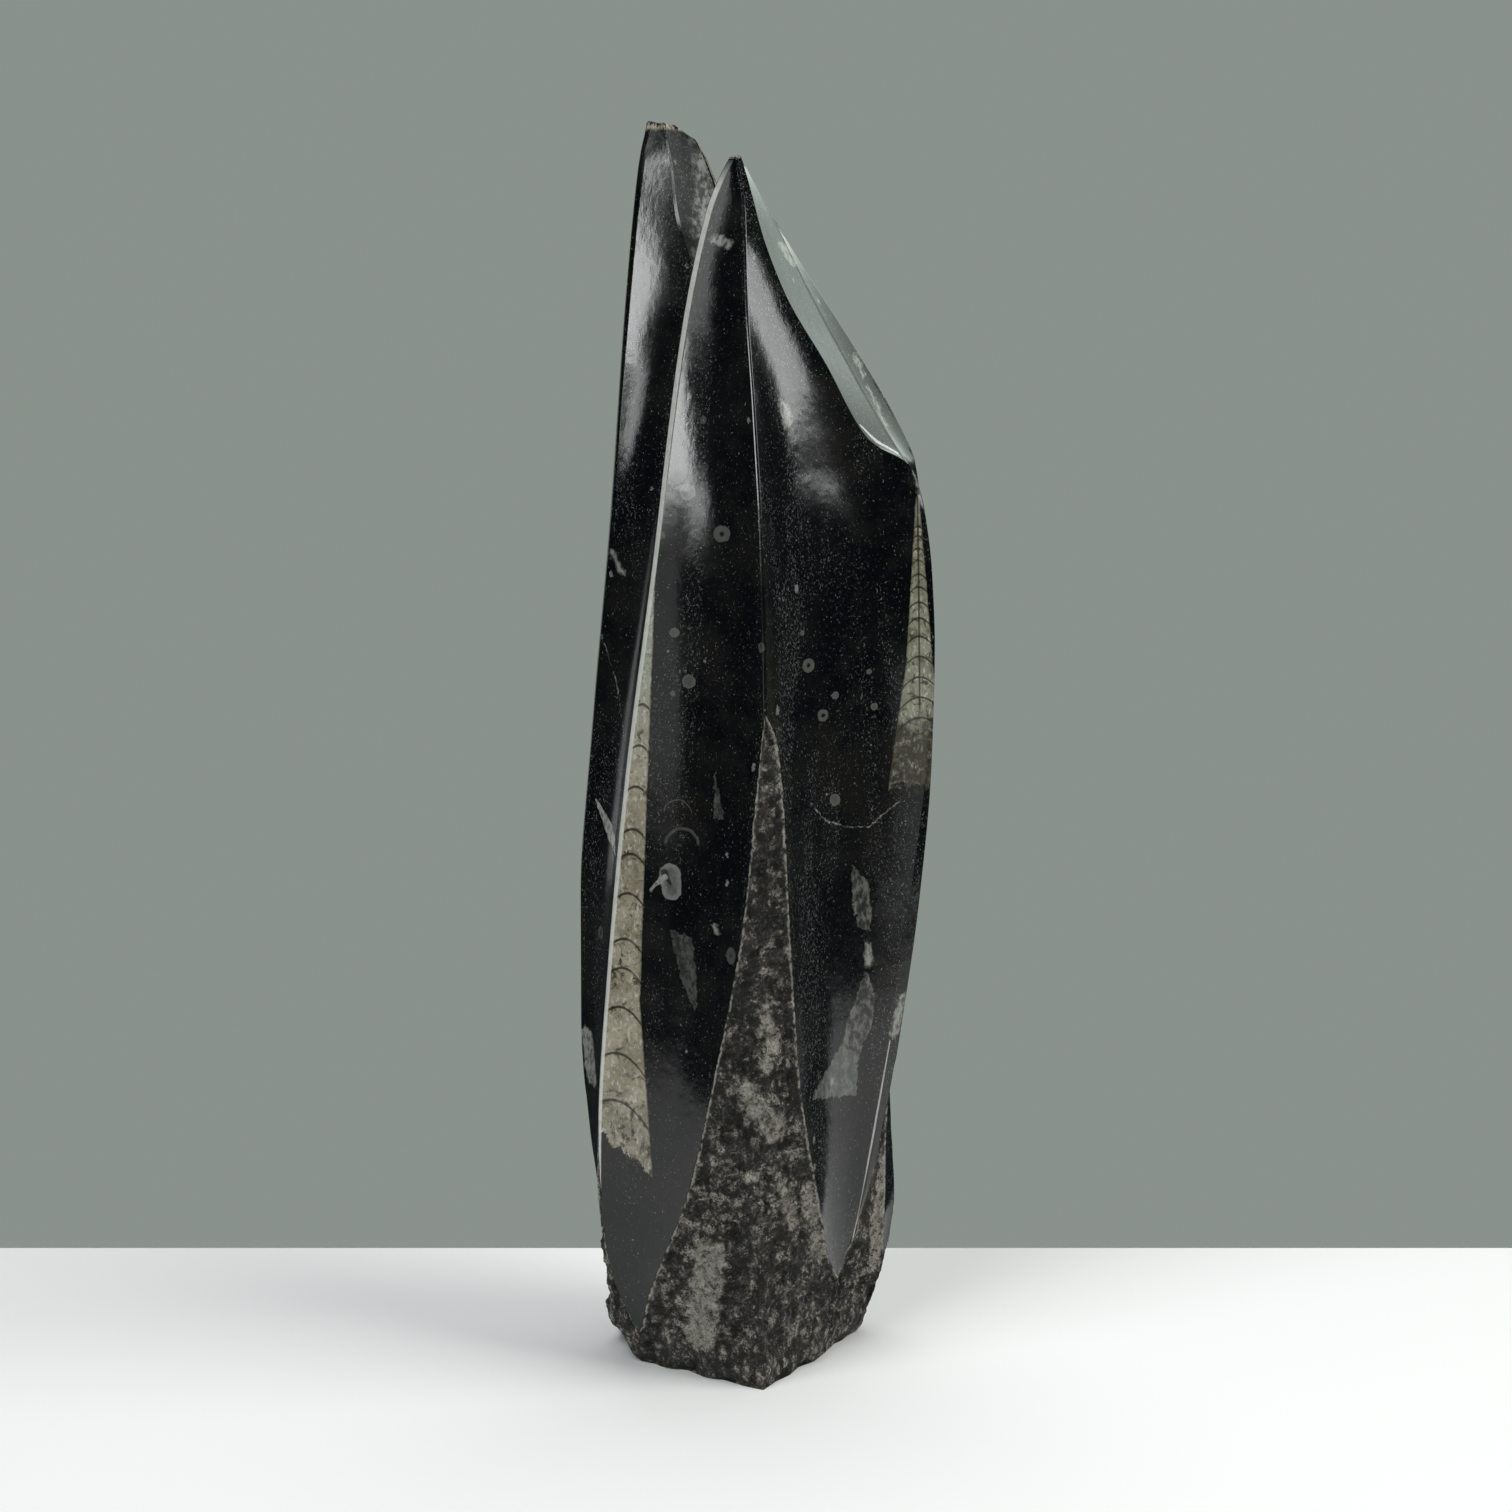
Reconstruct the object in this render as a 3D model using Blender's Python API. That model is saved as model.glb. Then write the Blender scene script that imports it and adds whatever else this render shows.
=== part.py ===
# A standing tower of polished fossil limestone, carved from one block.
#
# The stone is lofted from seven ridge lines. Between two ridges lies a polished hollow flute. Towards the
# foot each flute narrows to a tongue and the rough skin of the block shows between the tongues as lands.
# Above the saddle the stone parts into a front blade and a rear blade.
#
# Ridge lines and heights are in millimetres, x to the right, y to the back, heights above the foot.

import math

import bmesh
import bpy
from mathutils import Vector, noise

MM = 0.001
STONE_NAME = "orthoceras_stone"
STONE_COLOUR = (0.012, 0.013, 0.014, 1.0)
STONE_ROUGHNESS = 0.16

TOWER_HEIGHT = 400.0
FRONT_TIP = (-6.0, -8.8, 386.6)      # rounded point of the front blade
SADDLE_HEIGHT = 352.0                # where the two blades part
SADDLE_RISE = 3.0                    # the middle of the saddle stands above its two ends
REAR_BLADE_OPENING = 0.43            # share of its two neighbour flutes that the rear blade gives up
FRONT_BLADE_OPENING = 0.49
BREAK_START_X = -26.0                # right of here the broken top of the rear blade slopes down
BREAK_SLOPE = 0.75
BREAK_CHIP = 1.6                     # unevenness of the break
BREAK_GRAIN = 5.0
BREAK_REACH = 6                      # power that keeps the break's slope and chips near the top of the blade
OPENING_POWER = 0.65                 # the gap between the blades widens fast above the saddle, then slowly
BLADE_ROW_POWER = 1.15               # rows of a blade lie a little closer together towards its top
FRONT_WALL_BOW = 0.16                # swell of the wall between the blades, as a share of its width
REAR_WALL_BOW = -0.08
TIP_DOME = 1.6                       # the point of the front blade is rounded over this height
TIP_SHARE = 0.35                     # one more row of the point lies this far in from its rim
TIP_RISE = 0.4                       # and this share of the dome above it

FLUTE_STEPS = 6                      # facets across one flute, even, so that one line runs in its valley
LAND_STEPS = 2                       # facets from a ridge line to the edge of its land
WALL_STEPS = 5                       # facets across the wall between the blades
MOST_EDGE = 0.4                      # a rounded edge takes no more than this share of its flute
FOOT_FOLD = 0.95                     # sharpness of the lands' corners at the foot
BLUNT_HEIGHT = 180.0                 # height from which they keep their ridge's own fold
BLUNT_POWER = 0.7
LUMP_SIZE = 11.0                     # spacing of the lumps on the rough lands
LUMP_DEPTH = 2.6
LUMP_BIAS = 0.35                     # the lumps lie mostly inside the ridge lines
SMALL_LUMP = 0.5                     # depth of the small lumps between them, as a share
SMALL_LUMP_SIZE = 2.1                # and how many of them go to one lump
FULL_LAND = 12.0                     # a land at least this wide is fully rough
FULL_ROUGH_HEIGHT = 9.0              # about up to here the whole girth is rough
ROUGH_TOP = 1.6                      # the roughness ends at this multiple of that height

# Each ridge: its line as (height, x, y), half its rounded edge by height, and how bluntly its land is folded.
RIDGES = {
    "left": dict(
        line=[(0, -45, 15), (10, -51, 12), (45, -51.5, 10), (72, -55.5, 9), (110, -58, 8), (150, -58, 8),
              (208, -53.9, 8), (273, -48.0, 8), (348, -42.4, 8), (384, -38.7, 8), (400, -35.9, 9)],
        edge=[(150, 2.5), (300, 3.2)], fold=0.6),
    "front_left": dict(
        line=[(0, -38, -14), (12, -46, -15), (30, -49.5, -18), (60, -50.5, -23), (85, -49.9, -25.5),
              (130, -46.7, -27), (190, -40.8, -28), (257, -32, -25), (330, -22.8, -16), (369, -14.7, -10.5),
              (380, -10.4, -9.5), (386, -7.2, -9)],
        edge=[(0, 1.2)], fold=0.6),
    "front": dict(
        line=[(0, 2.7, -42.2), (6, 3.4, -44), (50, 2.9, -46.5), (100, 3, -49), (160, 3.1, -50),
              (215, 2.7, -48.5), (260, 1.8, -43), (306, -0.6, -35), (340, -2.8, -27), (369, -3.6, -17),
              (386, -6, -10.4)],
        edge=[(0, 0.7)], fold=0.45),
    "right": dict(
        line=[(0, 24, -4), (6, 26, -5), (26, 28, -6), (54, 37.1, -2), (82, 43.4, 1), (109, 47.9, 2),
              (150, 53.6, 4), (195, 57.3, 4), (230, 58, 3), (256, 56.9, 2.5), (274, 54.7, 3),
              (286, 51.8, 4.5), (295, 46.2, 7.5), (308, 38.2, 8.5), (322, 30.1, 7), (344, 17.8, 1.5),
              (369, 4.8, -4.5), (386, -4.6, -8.2)],
        edge=[(0, 0.5)], fold=0.6),
    "rear_right": dict(
        line=[(0, 35, 18), (6, 39.5, 19), (16, 42.5, 20), (30, 46, 22), (46, 47.1, 24), (70, 45.8, 25),
              (100, 44.6, 26), (150, 48.4, 25), (200, 51.5, 24), (250, 52.5, 21), (280, 53.6, 19),
              (292, 52.2, 18.5), (305, 46.6, 18), (330, 31.4, 13.5), (358, 12.2, 3.5), (378, -0.4, -4),
              (386, -4.7, -7.6)],
        edge=[(0, 1.0)], fold=0.6),
    "rear": dict(
        line=[(0, 10, 42), (20, 12, 46), (100, 10, 50), (200, 8, 50), (260, 4, 46), (310, -2, 36),
              (352, -6.5, 26), (380, -12.5, 18), (395, -18.5, 14), (400, -21, 13)],
        edge=[(0, 0.9)], fold=0.45),
    "rear_left": dict(
        line=[(0, -32, 40), (20, -36, 42), (100, -39, 43), (200, -37, 40), (300, -34, 31), (352, -32.5, 24),
              (385, -32, 19), (400, -29.5, 16)],
        edge=[(0, 1.2)], fold=0.6),
}

# Each flute runs from one ridge to the next, round the stone from the left by the front.
# depth and lean: its valley, as shares of its width; lands: how far the rough lands reach in from its ridges.
FLUTES = [
    dict(start="left", end="front_left",
         depth=[(42, 0.02), (110, 0.10), (200, 0.13), (262, 0.18), (290, 0.25), (312, 0.28), (343, 0.28),
                (360, 0.20), (375, 0.125), (400, 0.06)],
         lean=[(200, 0.5), (290, 0.55), (312, 0.58), (328, 0.66), (343, 0.73)],
         start_land=[(42, 0.50), (70, 0.16), (98, 0)], end_land=[(42, 0.47), (62, 0.12), (88, 0)]),
    dict(start="front_left", end="front",
         depth=[(11, 0.02), (60, 0.09), (150, 0.13), (200, 0.12), (262, 0.08), (313, 0.06), (343, 0.05),
                (370, 0.03)],
         lean=[(0, 0.5)],
         start_land=[(11, 0.16), (40, 0.035), (85, 0)],
         end_land=[(11, 0.82), (32, 0.67), (62, 0.455), (105, 0.29), (148, 0.15), (190, 0.065), (215, 0)]),
    dict(start="front", end="right",
         depth=[(26, 0.02), (60, 0.08), (150, 0.12), (280, 0.12), (386, 0.08)], lean=[(0, 0.5)],
         start_land=[(26, 0.95), (38, 0.70), (56, 0.50), (75, 0.36), (99, 0.245), (147, 0.147), (204, 0.072),
                     (215, 0)],
         end_land=[(26, 0.02), (40, 0)]),
    dict(start="right", end="rear_right",
         depth=[(24, 0.02), (100, 0.05), (200, 0.08), (290, 0.05), (360, 0)], lean=[(0, 0.5)],
         start_land=[(24, 0.86), (55, 0.64), (75, 0.50), (88, 0.25), (97, 0)],
         end_land=[(24, 0.11), (48, 0)]),
    dict(start="rear_right", end="rear",
         depth=[(16, 0.02), (90, 0.11), (200, 0.14), (300, 0.18), (352, 0.25), (400, 0.08)],
         lean=[(0, 0.5)],
         start_land=[(16, 0.40), (60, 0.10), (84, 0)],
         end_land=[(16, 0.56), (60, 0.30), (110, 0.13), (178, 0)]),
    dict(start="rear", end="rear_left",
         depth=[(30, 0.02), (100, 0.12), (200, 0.14), (330, 0.12), (400, 0.03)], lean=[(0, 0.5)],
         start_land=[(30, 0.57), (70, 0.28), (120, 0.11), (178, 0)],
         end_land=[(30, 0.40), (70, 0.17), (128, 0)]),
    dict(start="rear_left", end="left",
         depth=[(20, 0.02), (90, 0.10), (200, 0.11), (330, 0.08), (400, 0.02)], lean=[(0, 0.5)],
         start_land=[(20, 0.56), (60, 0.22), (128, 0)], end_land=[(20, 0.41), (60, 0.13), (98, 0)]),
]

# Above the shoulder a long leaf-shaped facet has cut the right ridge back from where it would have run.
# The shoulder line bounds that facet, and below the shoulder a narrow bevel: where it lies across the
# front-right flute, as a share of the flute's full width, and how far it stands proud of the hollow.
UNCUT_RIGHT = [(256, 56.9, 2.5), (274, 54.7, 3), (286, 52.2, 3), (300, 49.5, 1.5), (322, 44, -3),
               (344, 37, -9), (386, 20, -15)]
SHOULDER_SHARE = [(26, 0.98), (60, 0.93), (110, 0.915), (165, 0.955), (200, 0.975), (289, 0.975),
                  (291, 0.96), (293, 0.92), (296, 0.83), (299, 0.775), (322, 0.58), (344, 0.32), (369, 0.11),
                  (386, 0.04)]
SHOULDER_STAND = [(26, 0.1), (60, 0.6), (110, 0.9), (200, 0.4), (286, 0.4), (300, 0)]
SHOULDER_STEPS = 2
SHOULDER_FADE = 20.0                 # a flute narrower than this has a lower bevel too

# Row heights: (up to this height, spacing)
ROW_SPACING = [(10, 5.0), (120, 6.5), (280, 8.0), (302, 3.7), (352, 6.3)]
BLADE_ROWS = 10


def along(knots, height):
    """Value at a height on a smooth line through (height, value, ...) knots that never overshoots them."""
    if height <= knots[0][0]:
        return knots[0][1:]
    if height >= knots[-1][0]:
        return knots[-1][1:]
    index = max(i for i in range(len(knots) - 1) if knots[i][0] <= height)
    span = knots[index + 1][0] - knots[index][0]
    t = (height - knots[index][0]) / span
    values = []
    for axis in range(1, len(knots[0])):
        start, end = knots[index][axis], knots[index + 1][axis]
        slope_in, slope_out = knot_slope(knots, index, axis), knot_slope(knots, index + 1, axis)
        bend = t * (t - 1) * ((t - 1) * slope_in + t * slope_out) * span
        values.append(start + (end - start) * t * t * (3 - 2 * t) + bend)
    return tuple(values)


def knot_slope(knots, index, axis):
    """Slope of the smooth line at one knot: the harmonic mean of the slopes beside it, or flat at a turn."""
    def chord(i):
        return (knots[i + 1][axis] - knots[i][axis]) / (knots[i + 1][0] - knots[i][0])
    if index == 0:
        return chord(0)
    if index == len(knots) - 1:
        return chord(index - 1)
    before, after = chord(index - 1), chord(index)
    if before * after <= 0:
        return 0.0
    return 2 * before * after / (before + after)


def ridge_point(name, height):
    return Vector(along(RIDGES[name]["line"], height))


def ridge_edge(name, height):
    return along(RIDGES[name]["edge"], height)[0]


def outward(start, end):
    """Unit vector to the outside of a chord that runs round the stone from start to end."""
    chord = end - start
    return Vector((chord.y, -chord.x)).normalized()


def land_edges(flute, height):
    """Points where the polished flute starts and ends, on the chord between its two ridge lines."""
    start, end = ridge_point(flute["start"], height), ridge_point(flute["end"], height)
    width = (end - start).length
    start_edge = min(MOST_EDGE, ridge_edge(flute["start"], height) / width)
    end_edge = min(MOST_EDGE, ridge_edge(flute["end"], height) / width)
    start_share = max(along(flute["start_land"], height)[0], start_edge)
    end_share = max(along(flute["end_land"], height)[0], end_edge)
    return start.lerp(end, start_share), end.lerp(start, end_share)


def hollow(flute, height, first=0.0, last=1.0, steps=FLUTE_STEPS):
    """Points across the hollow of a flute, from the share first to the share last of its width."""
    start, end = land_edges(flute, height)
    if flute["start"] == "front":
        return shouldered_hollow(flute, height, start, end, steps)
    depth = along(flute["depth"], height)[0] * (end - start).length
    lean = along(flute["lean"], height)[0] - 0.5
    points = []
    for step in range(steps + 1):
        share = first + (last - first) * step / steps
        crown = 4 * share * (1 - share)
        points.append(start.lerp(end, share + lean * crown) - outward(start, end) * depth * crown)
    return points


def shouldered_hollow(flute, height, start, end, steps):
    """The front-right flute, up to the shoulder line, and then the facet or bevel from there to the ridge."""
    full_end = Vector(along(UNCUT_RIGHT, height)) if height > UNCUT_RIGHT[0][0] else end
    out = outward(start, full_end)
    depth = along(flute["depth"], height)[0] * (full_end - start).length
    reach = along(SHOULDER_SHARE, height)[0]
    stand = along(SHOULDER_STAND, height)[0] * min(1.0, (end - start).length / SHOULDER_FADE)
    points = []
    for step in range(steps + 1):
        share = reach * step / steps
        proud = stand * max(0.0, 1 - (steps - step) / SHOULDER_STEPS)
        points.append(start.lerp(full_end, share) + out * (proud - depth * 4 * share * (1 - share)))
    for step in range(1, SHOULDER_STEPS + 1):
        points.append(points[steps].lerp(end, step / SHOULDER_STEPS))
    return points


def land(name, height):
    """Points across the land of a ridge, between the flutes on its two sides, which hold its ends."""
    before = next(flute for flute in FLUTES if flute["end"] == name)
    after = next(flute for flute in FLUTES if flute["start"] == name)
    left, right = land_edges(before, height)[1], land_edges(after, height)[0]
    corner = left.lerp(right, 0.5).lerp(ridge_point(name, height), land_fold(name, height))
    points = [left.lerp(corner, step / LAND_STEPS) for step in range(1, LAND_STEPS)]
    points.append(corner)
    points += [corner.lerp(right, step / LAND_STEPS) for step in range(1, LAND_STEPS)]
    return points


def land_fold(name, height):
    """A land is folded at its ridge line: blunter the higher it is, and a full corner at the foot."""
    blunted = min(1.0, height / BLUNT_HEIGHT) ** BLUNT_POWER
    return FOOT_FOLD + (RIDGES[name]["fold"] - FOOT_FOLD) * blunted


def whole_ring(height):
    """The full girth of the stone below the saddle, as (x, y, rough)."""
    ring = []
    for flute in FLUTES:
        ring += marked(land(flute["start"], height), height, land_roughness(flute["start"], height))
        ring += marked(hollow(flute, height), height, 0.0)
    return ring


def land_roughness(name, height):
    """Share of roughness of a land: full where it is wide, none where only the polished ridge is left."""
    rough_width = 0.0
    for flute in FLUTES:
        for side in ("start", "end"):
            if flute[side] == name:
                chord = (ridge_point(flute["end"], height) - ridge_point(flute["start"], height)).length
                reach = along(flute[side + "_land"], height)[0] * chord
                rough_width += max(0.0, reach - ridge_edge(name, height))
    return min(1.0, rough_width / FULL_LAND)


def marked(points, height, rough):
    """Points with the share of roughness they take, which at the foot is full all round."""
    foot = min(1.0, max(0.0, ROUGH_TOP - height / FULL_ROUGH_HEIGHT))
    return [(point.x, point.y, max(rough, foot)) for point in points]


def blade_ring(side, height):
    """The girth of one blade: its own ridges and flutes, the two it shares, and the wall between blades."""
    is_front = side == "front"
    top = FRONT_TIP[2] if is_front else TOWER_HEIGHT
    climb = max(0.0, (height - SADDLE_HEIGHT) / (top - SADDLE_HEIGHT))
    opening = (FRONT_BLADE_OPENING if is_front else REAR_BLADE_OPENING) * climb ** OPENING_POWER
    half = FLUTE_STEPS // 2
    left_flute, right_flute = FLUTES[0], FLUTES[4]
    own = FLUTES[1:4] if is_front else FLUTES[5:7]
    first, last = (left_flute, right_flute) if is_front else (right_flute, left_flute)
    ring = hollow(first, height, 0.5 + opening, 1.0, half)
    for flute in own:
        ring += land(flute["start"], height) + hollow(flute, height)
    ring += land(last["start"], height) + hollow(last, height, 0.0, 0.5 - opening, half)
    return ring, wall(ring[-1], ring[0], climb, FRONT_WALL_BOW if is_front else REAR_WALL_BOW)


def wall(start, end, climb, bow):
    """Points inside the ends of the wall that one blade turns to the other."""
    points = []
    for step in range(1, WALL_STEPS):
        share = step / WALL_STEPS
        crown = 4 * share * (1 - share)
        swell = outward(start, end) * bow * min(1.0, 2 * climb) * (end - start).length * crown
        points.append(start.lerp(end, share) + swell)
    return points


def row_heights():
    heights = [0.0]
    for top, spacing in ROW_SPACING:
        rows = round((top - heights[-1]) / spacing)
        bottom = heights[-1]
        heights += [bottom + (top - bottom) * (row + 1) / rows for row in range(rows)]
    return heights


def lumped(x, y, height, rough):
    """A point of the rough skin, moved in by lumps that are the same wherever the mesh is cut."""
    place = Vector((x, y, height))
    lump = noise.noise(place / LUMP_SIZE) + SMALL_LUMP * noise.noise(place * SMALL_LUMP_SIZE / LUMP_SIZE)
    inward = Vector((-x, -y, 0)).normalized()
    return place + inward * rough * LUMP_DEPTH * (LUMP_BIAS + lump)


def add_ring(mesh, places):
    return [mesh.verts.new(place * MM) for place in places]


def bridge(mesh, lower, upper):
    """Join two rings of the same number of points, faces out for rings that run round from left by front."""
    count = len(lower)
    for i in range(count):
        j = (i + 1) % count
        mesh.faces.new((lower[i], lower[j], upper[j], upper[i]))


def add_lower_stone(mesh):
    """Foot and body up to the saddle; gives the ring of points at the saddle."""
    rings = []
    for height in row_heights():
        rings.append(add_ring(mesh, [lumped(x, y, height, rough) for x, y, rough in whole_ring(height)]))
    for lower, upper in zip(rings, rings[1:]):
        bridge(mesh, lower, upper)
    mesh.faces.new(list(reversed(rings[0])))
    return rings[-1]


def saddle_line(mesh, left, right):
    """Points across the saddle from the left valley to the right one, a little higher in the middle."""
    points = []
    for step in range(1, WALL_STEPS):
        share = step / WALL_STEPS
        rise = Vector((0, 0, SADDLE_RISE * MM * 4 * share * (1 - share)))
        points.append(mesh.verts.new(left.co.lerp(right.co, share) + rise))
    return points


def blade_places(side, share):
    """The ring of one blade at a share of its climb from the saddle to its top."""
    top = FRONT_TIP[2] - TIP_DOME if side == "front" else TOWER_HEIGHT
    height = SADDLE_HEIGHT + (top - SADDLE_HEIGHT) * share
    ring, inner = blade_ring(side, height)
    places = [Vector((point.x, point.y, height)) for point in ring]
    saddle_share = (1 - share) ** 2
    for step, point in enumerate(inner, start=1):
        across = step / WALL_STEPS
        rise = SADDLE_RISE * 4 * across * (1 - across) * saddle_share
        places.append(Vector((point.x, point.y, height + rise)))
    if side == "rear":
        for place in places:
            chip = BREAK_CHIP * (0.5 + noise.noise(place / BREAK_GRAIN))
            place.z -= (BREAK_SLOPE * max(0.0, place.x - BREAK_START_X) + chip) * share ** BREAK_REACH
    return places


def add_blade(mesh, side, base):
    """Rows of one blade from the saddle up, and its closed top."""
    lower = base
    for row in range(1, BLADE_ROWS + 1):
        share = row / BLADE_ROWS
        upper = add_ring(mesh, blade_places(side, 1 - (1 - share) ** BLADE_ROW_POWER))
        bridge(mesh, lower, upper)
        lower = upper
    centre = sum((vert.co for vert in lower), Vector()) / len(lower)
    if side == "front":
        centre = Vector(FRONT_TIP) * MM
        rise = Vector((0, 0, TIP_DOME * MM * TIP_RISE))
        upper = [mesh.verts.new(vert.co.lerp(centre, TIP_SHARE) + rise) for vert in lower]
        bridge(mesh, lower, upper)
        lower = upper
    top = mesh.verts.new(centre)
    for i, vert in enumerate(lower):
        mesh.faces.new((vert, lower[(i + 1) % len(lower)], top))


def ring_length(flute):
    """Number of points that a land and its flute add to the ring."""
    shoulder = SHOULDER_STEPS if flute["start"] == "front" else 0
    return 2 * LAND_STEPS - 1 + FLUTE_STEPS + 1 + shoulder


def build_stone():
    mesh = bmesh.new()
    ring = add_lower_stone(mesh)
    valley = 2 * LAND_STEPS - 1 + FLUTE_STEPS // 2
    left_valley = valley
    right_valley = sum(ring_length(flute) for flute in FLUTES[:4]) + valley
    across = saddle_line(mesh, ring[left_valley], ring[right_valley])
    front = ring[left_valley:right_valley + 1] + across[::-1]
    rear = ring[right_valley:] + ring[:left_valley + 1] + across
    add_blade(mesh, "front", front)
    add_blade(mesh, "rear", rear)
    bmesh.ops.triangulate(mesh, faces=[face for face in mesh.faces if len(face.verts) > 4])
    data = bpy.data.meshes.new(STONE_NAME)
    mesh.to_mesh(data)
    mesh.free()
    return data


def stone_material():
    material = bpy.data.materials.new("polished_fossil_limestone")
    material.use_nodes = True
    shader = material.node_tree.nodes["Principled BSDF"]
    shader.inputs["Base Color"].default_value = STONE_COLOUR
    shader.inputs["Roughness"].default_value = STONE_ROUGHNESS
    shader.inputs["Metallic"].default_value = 0.0
    return material


def main():
    for old in list(bpy.data.objects):
        bpy.data.objects.remove(old, do_unlink=True)
    stone = bpy.data.objects.new(STONE_NAME, build_stone())
    stone.data.materials.append(stone_material())
    stone.data.shade_smooth()
    stone.data.set_sharp_from_angle(angle=math.radians(25))
    bpy.context.scene.collection.objects.link(stone)


main()
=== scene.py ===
import math
from functools import reduce
import bmesh
import bpy
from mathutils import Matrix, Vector, noise


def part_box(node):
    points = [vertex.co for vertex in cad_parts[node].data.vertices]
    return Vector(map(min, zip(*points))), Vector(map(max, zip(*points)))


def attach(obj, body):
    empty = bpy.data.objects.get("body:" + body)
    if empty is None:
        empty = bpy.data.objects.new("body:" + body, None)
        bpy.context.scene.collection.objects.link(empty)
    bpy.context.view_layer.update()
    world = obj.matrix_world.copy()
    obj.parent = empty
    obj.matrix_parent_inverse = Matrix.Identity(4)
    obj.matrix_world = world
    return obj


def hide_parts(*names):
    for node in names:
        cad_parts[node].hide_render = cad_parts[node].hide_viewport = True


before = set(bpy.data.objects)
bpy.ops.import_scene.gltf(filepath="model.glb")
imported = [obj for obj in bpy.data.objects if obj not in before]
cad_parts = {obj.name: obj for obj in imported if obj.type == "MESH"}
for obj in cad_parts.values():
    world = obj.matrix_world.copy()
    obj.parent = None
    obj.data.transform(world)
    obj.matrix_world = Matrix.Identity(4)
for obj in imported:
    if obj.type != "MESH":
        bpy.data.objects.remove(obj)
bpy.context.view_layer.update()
print("frame loaded")

# Lengths of the stone are in millimetres, x to the right, y to the back, heights above the foot.
mm = 0.001

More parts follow.
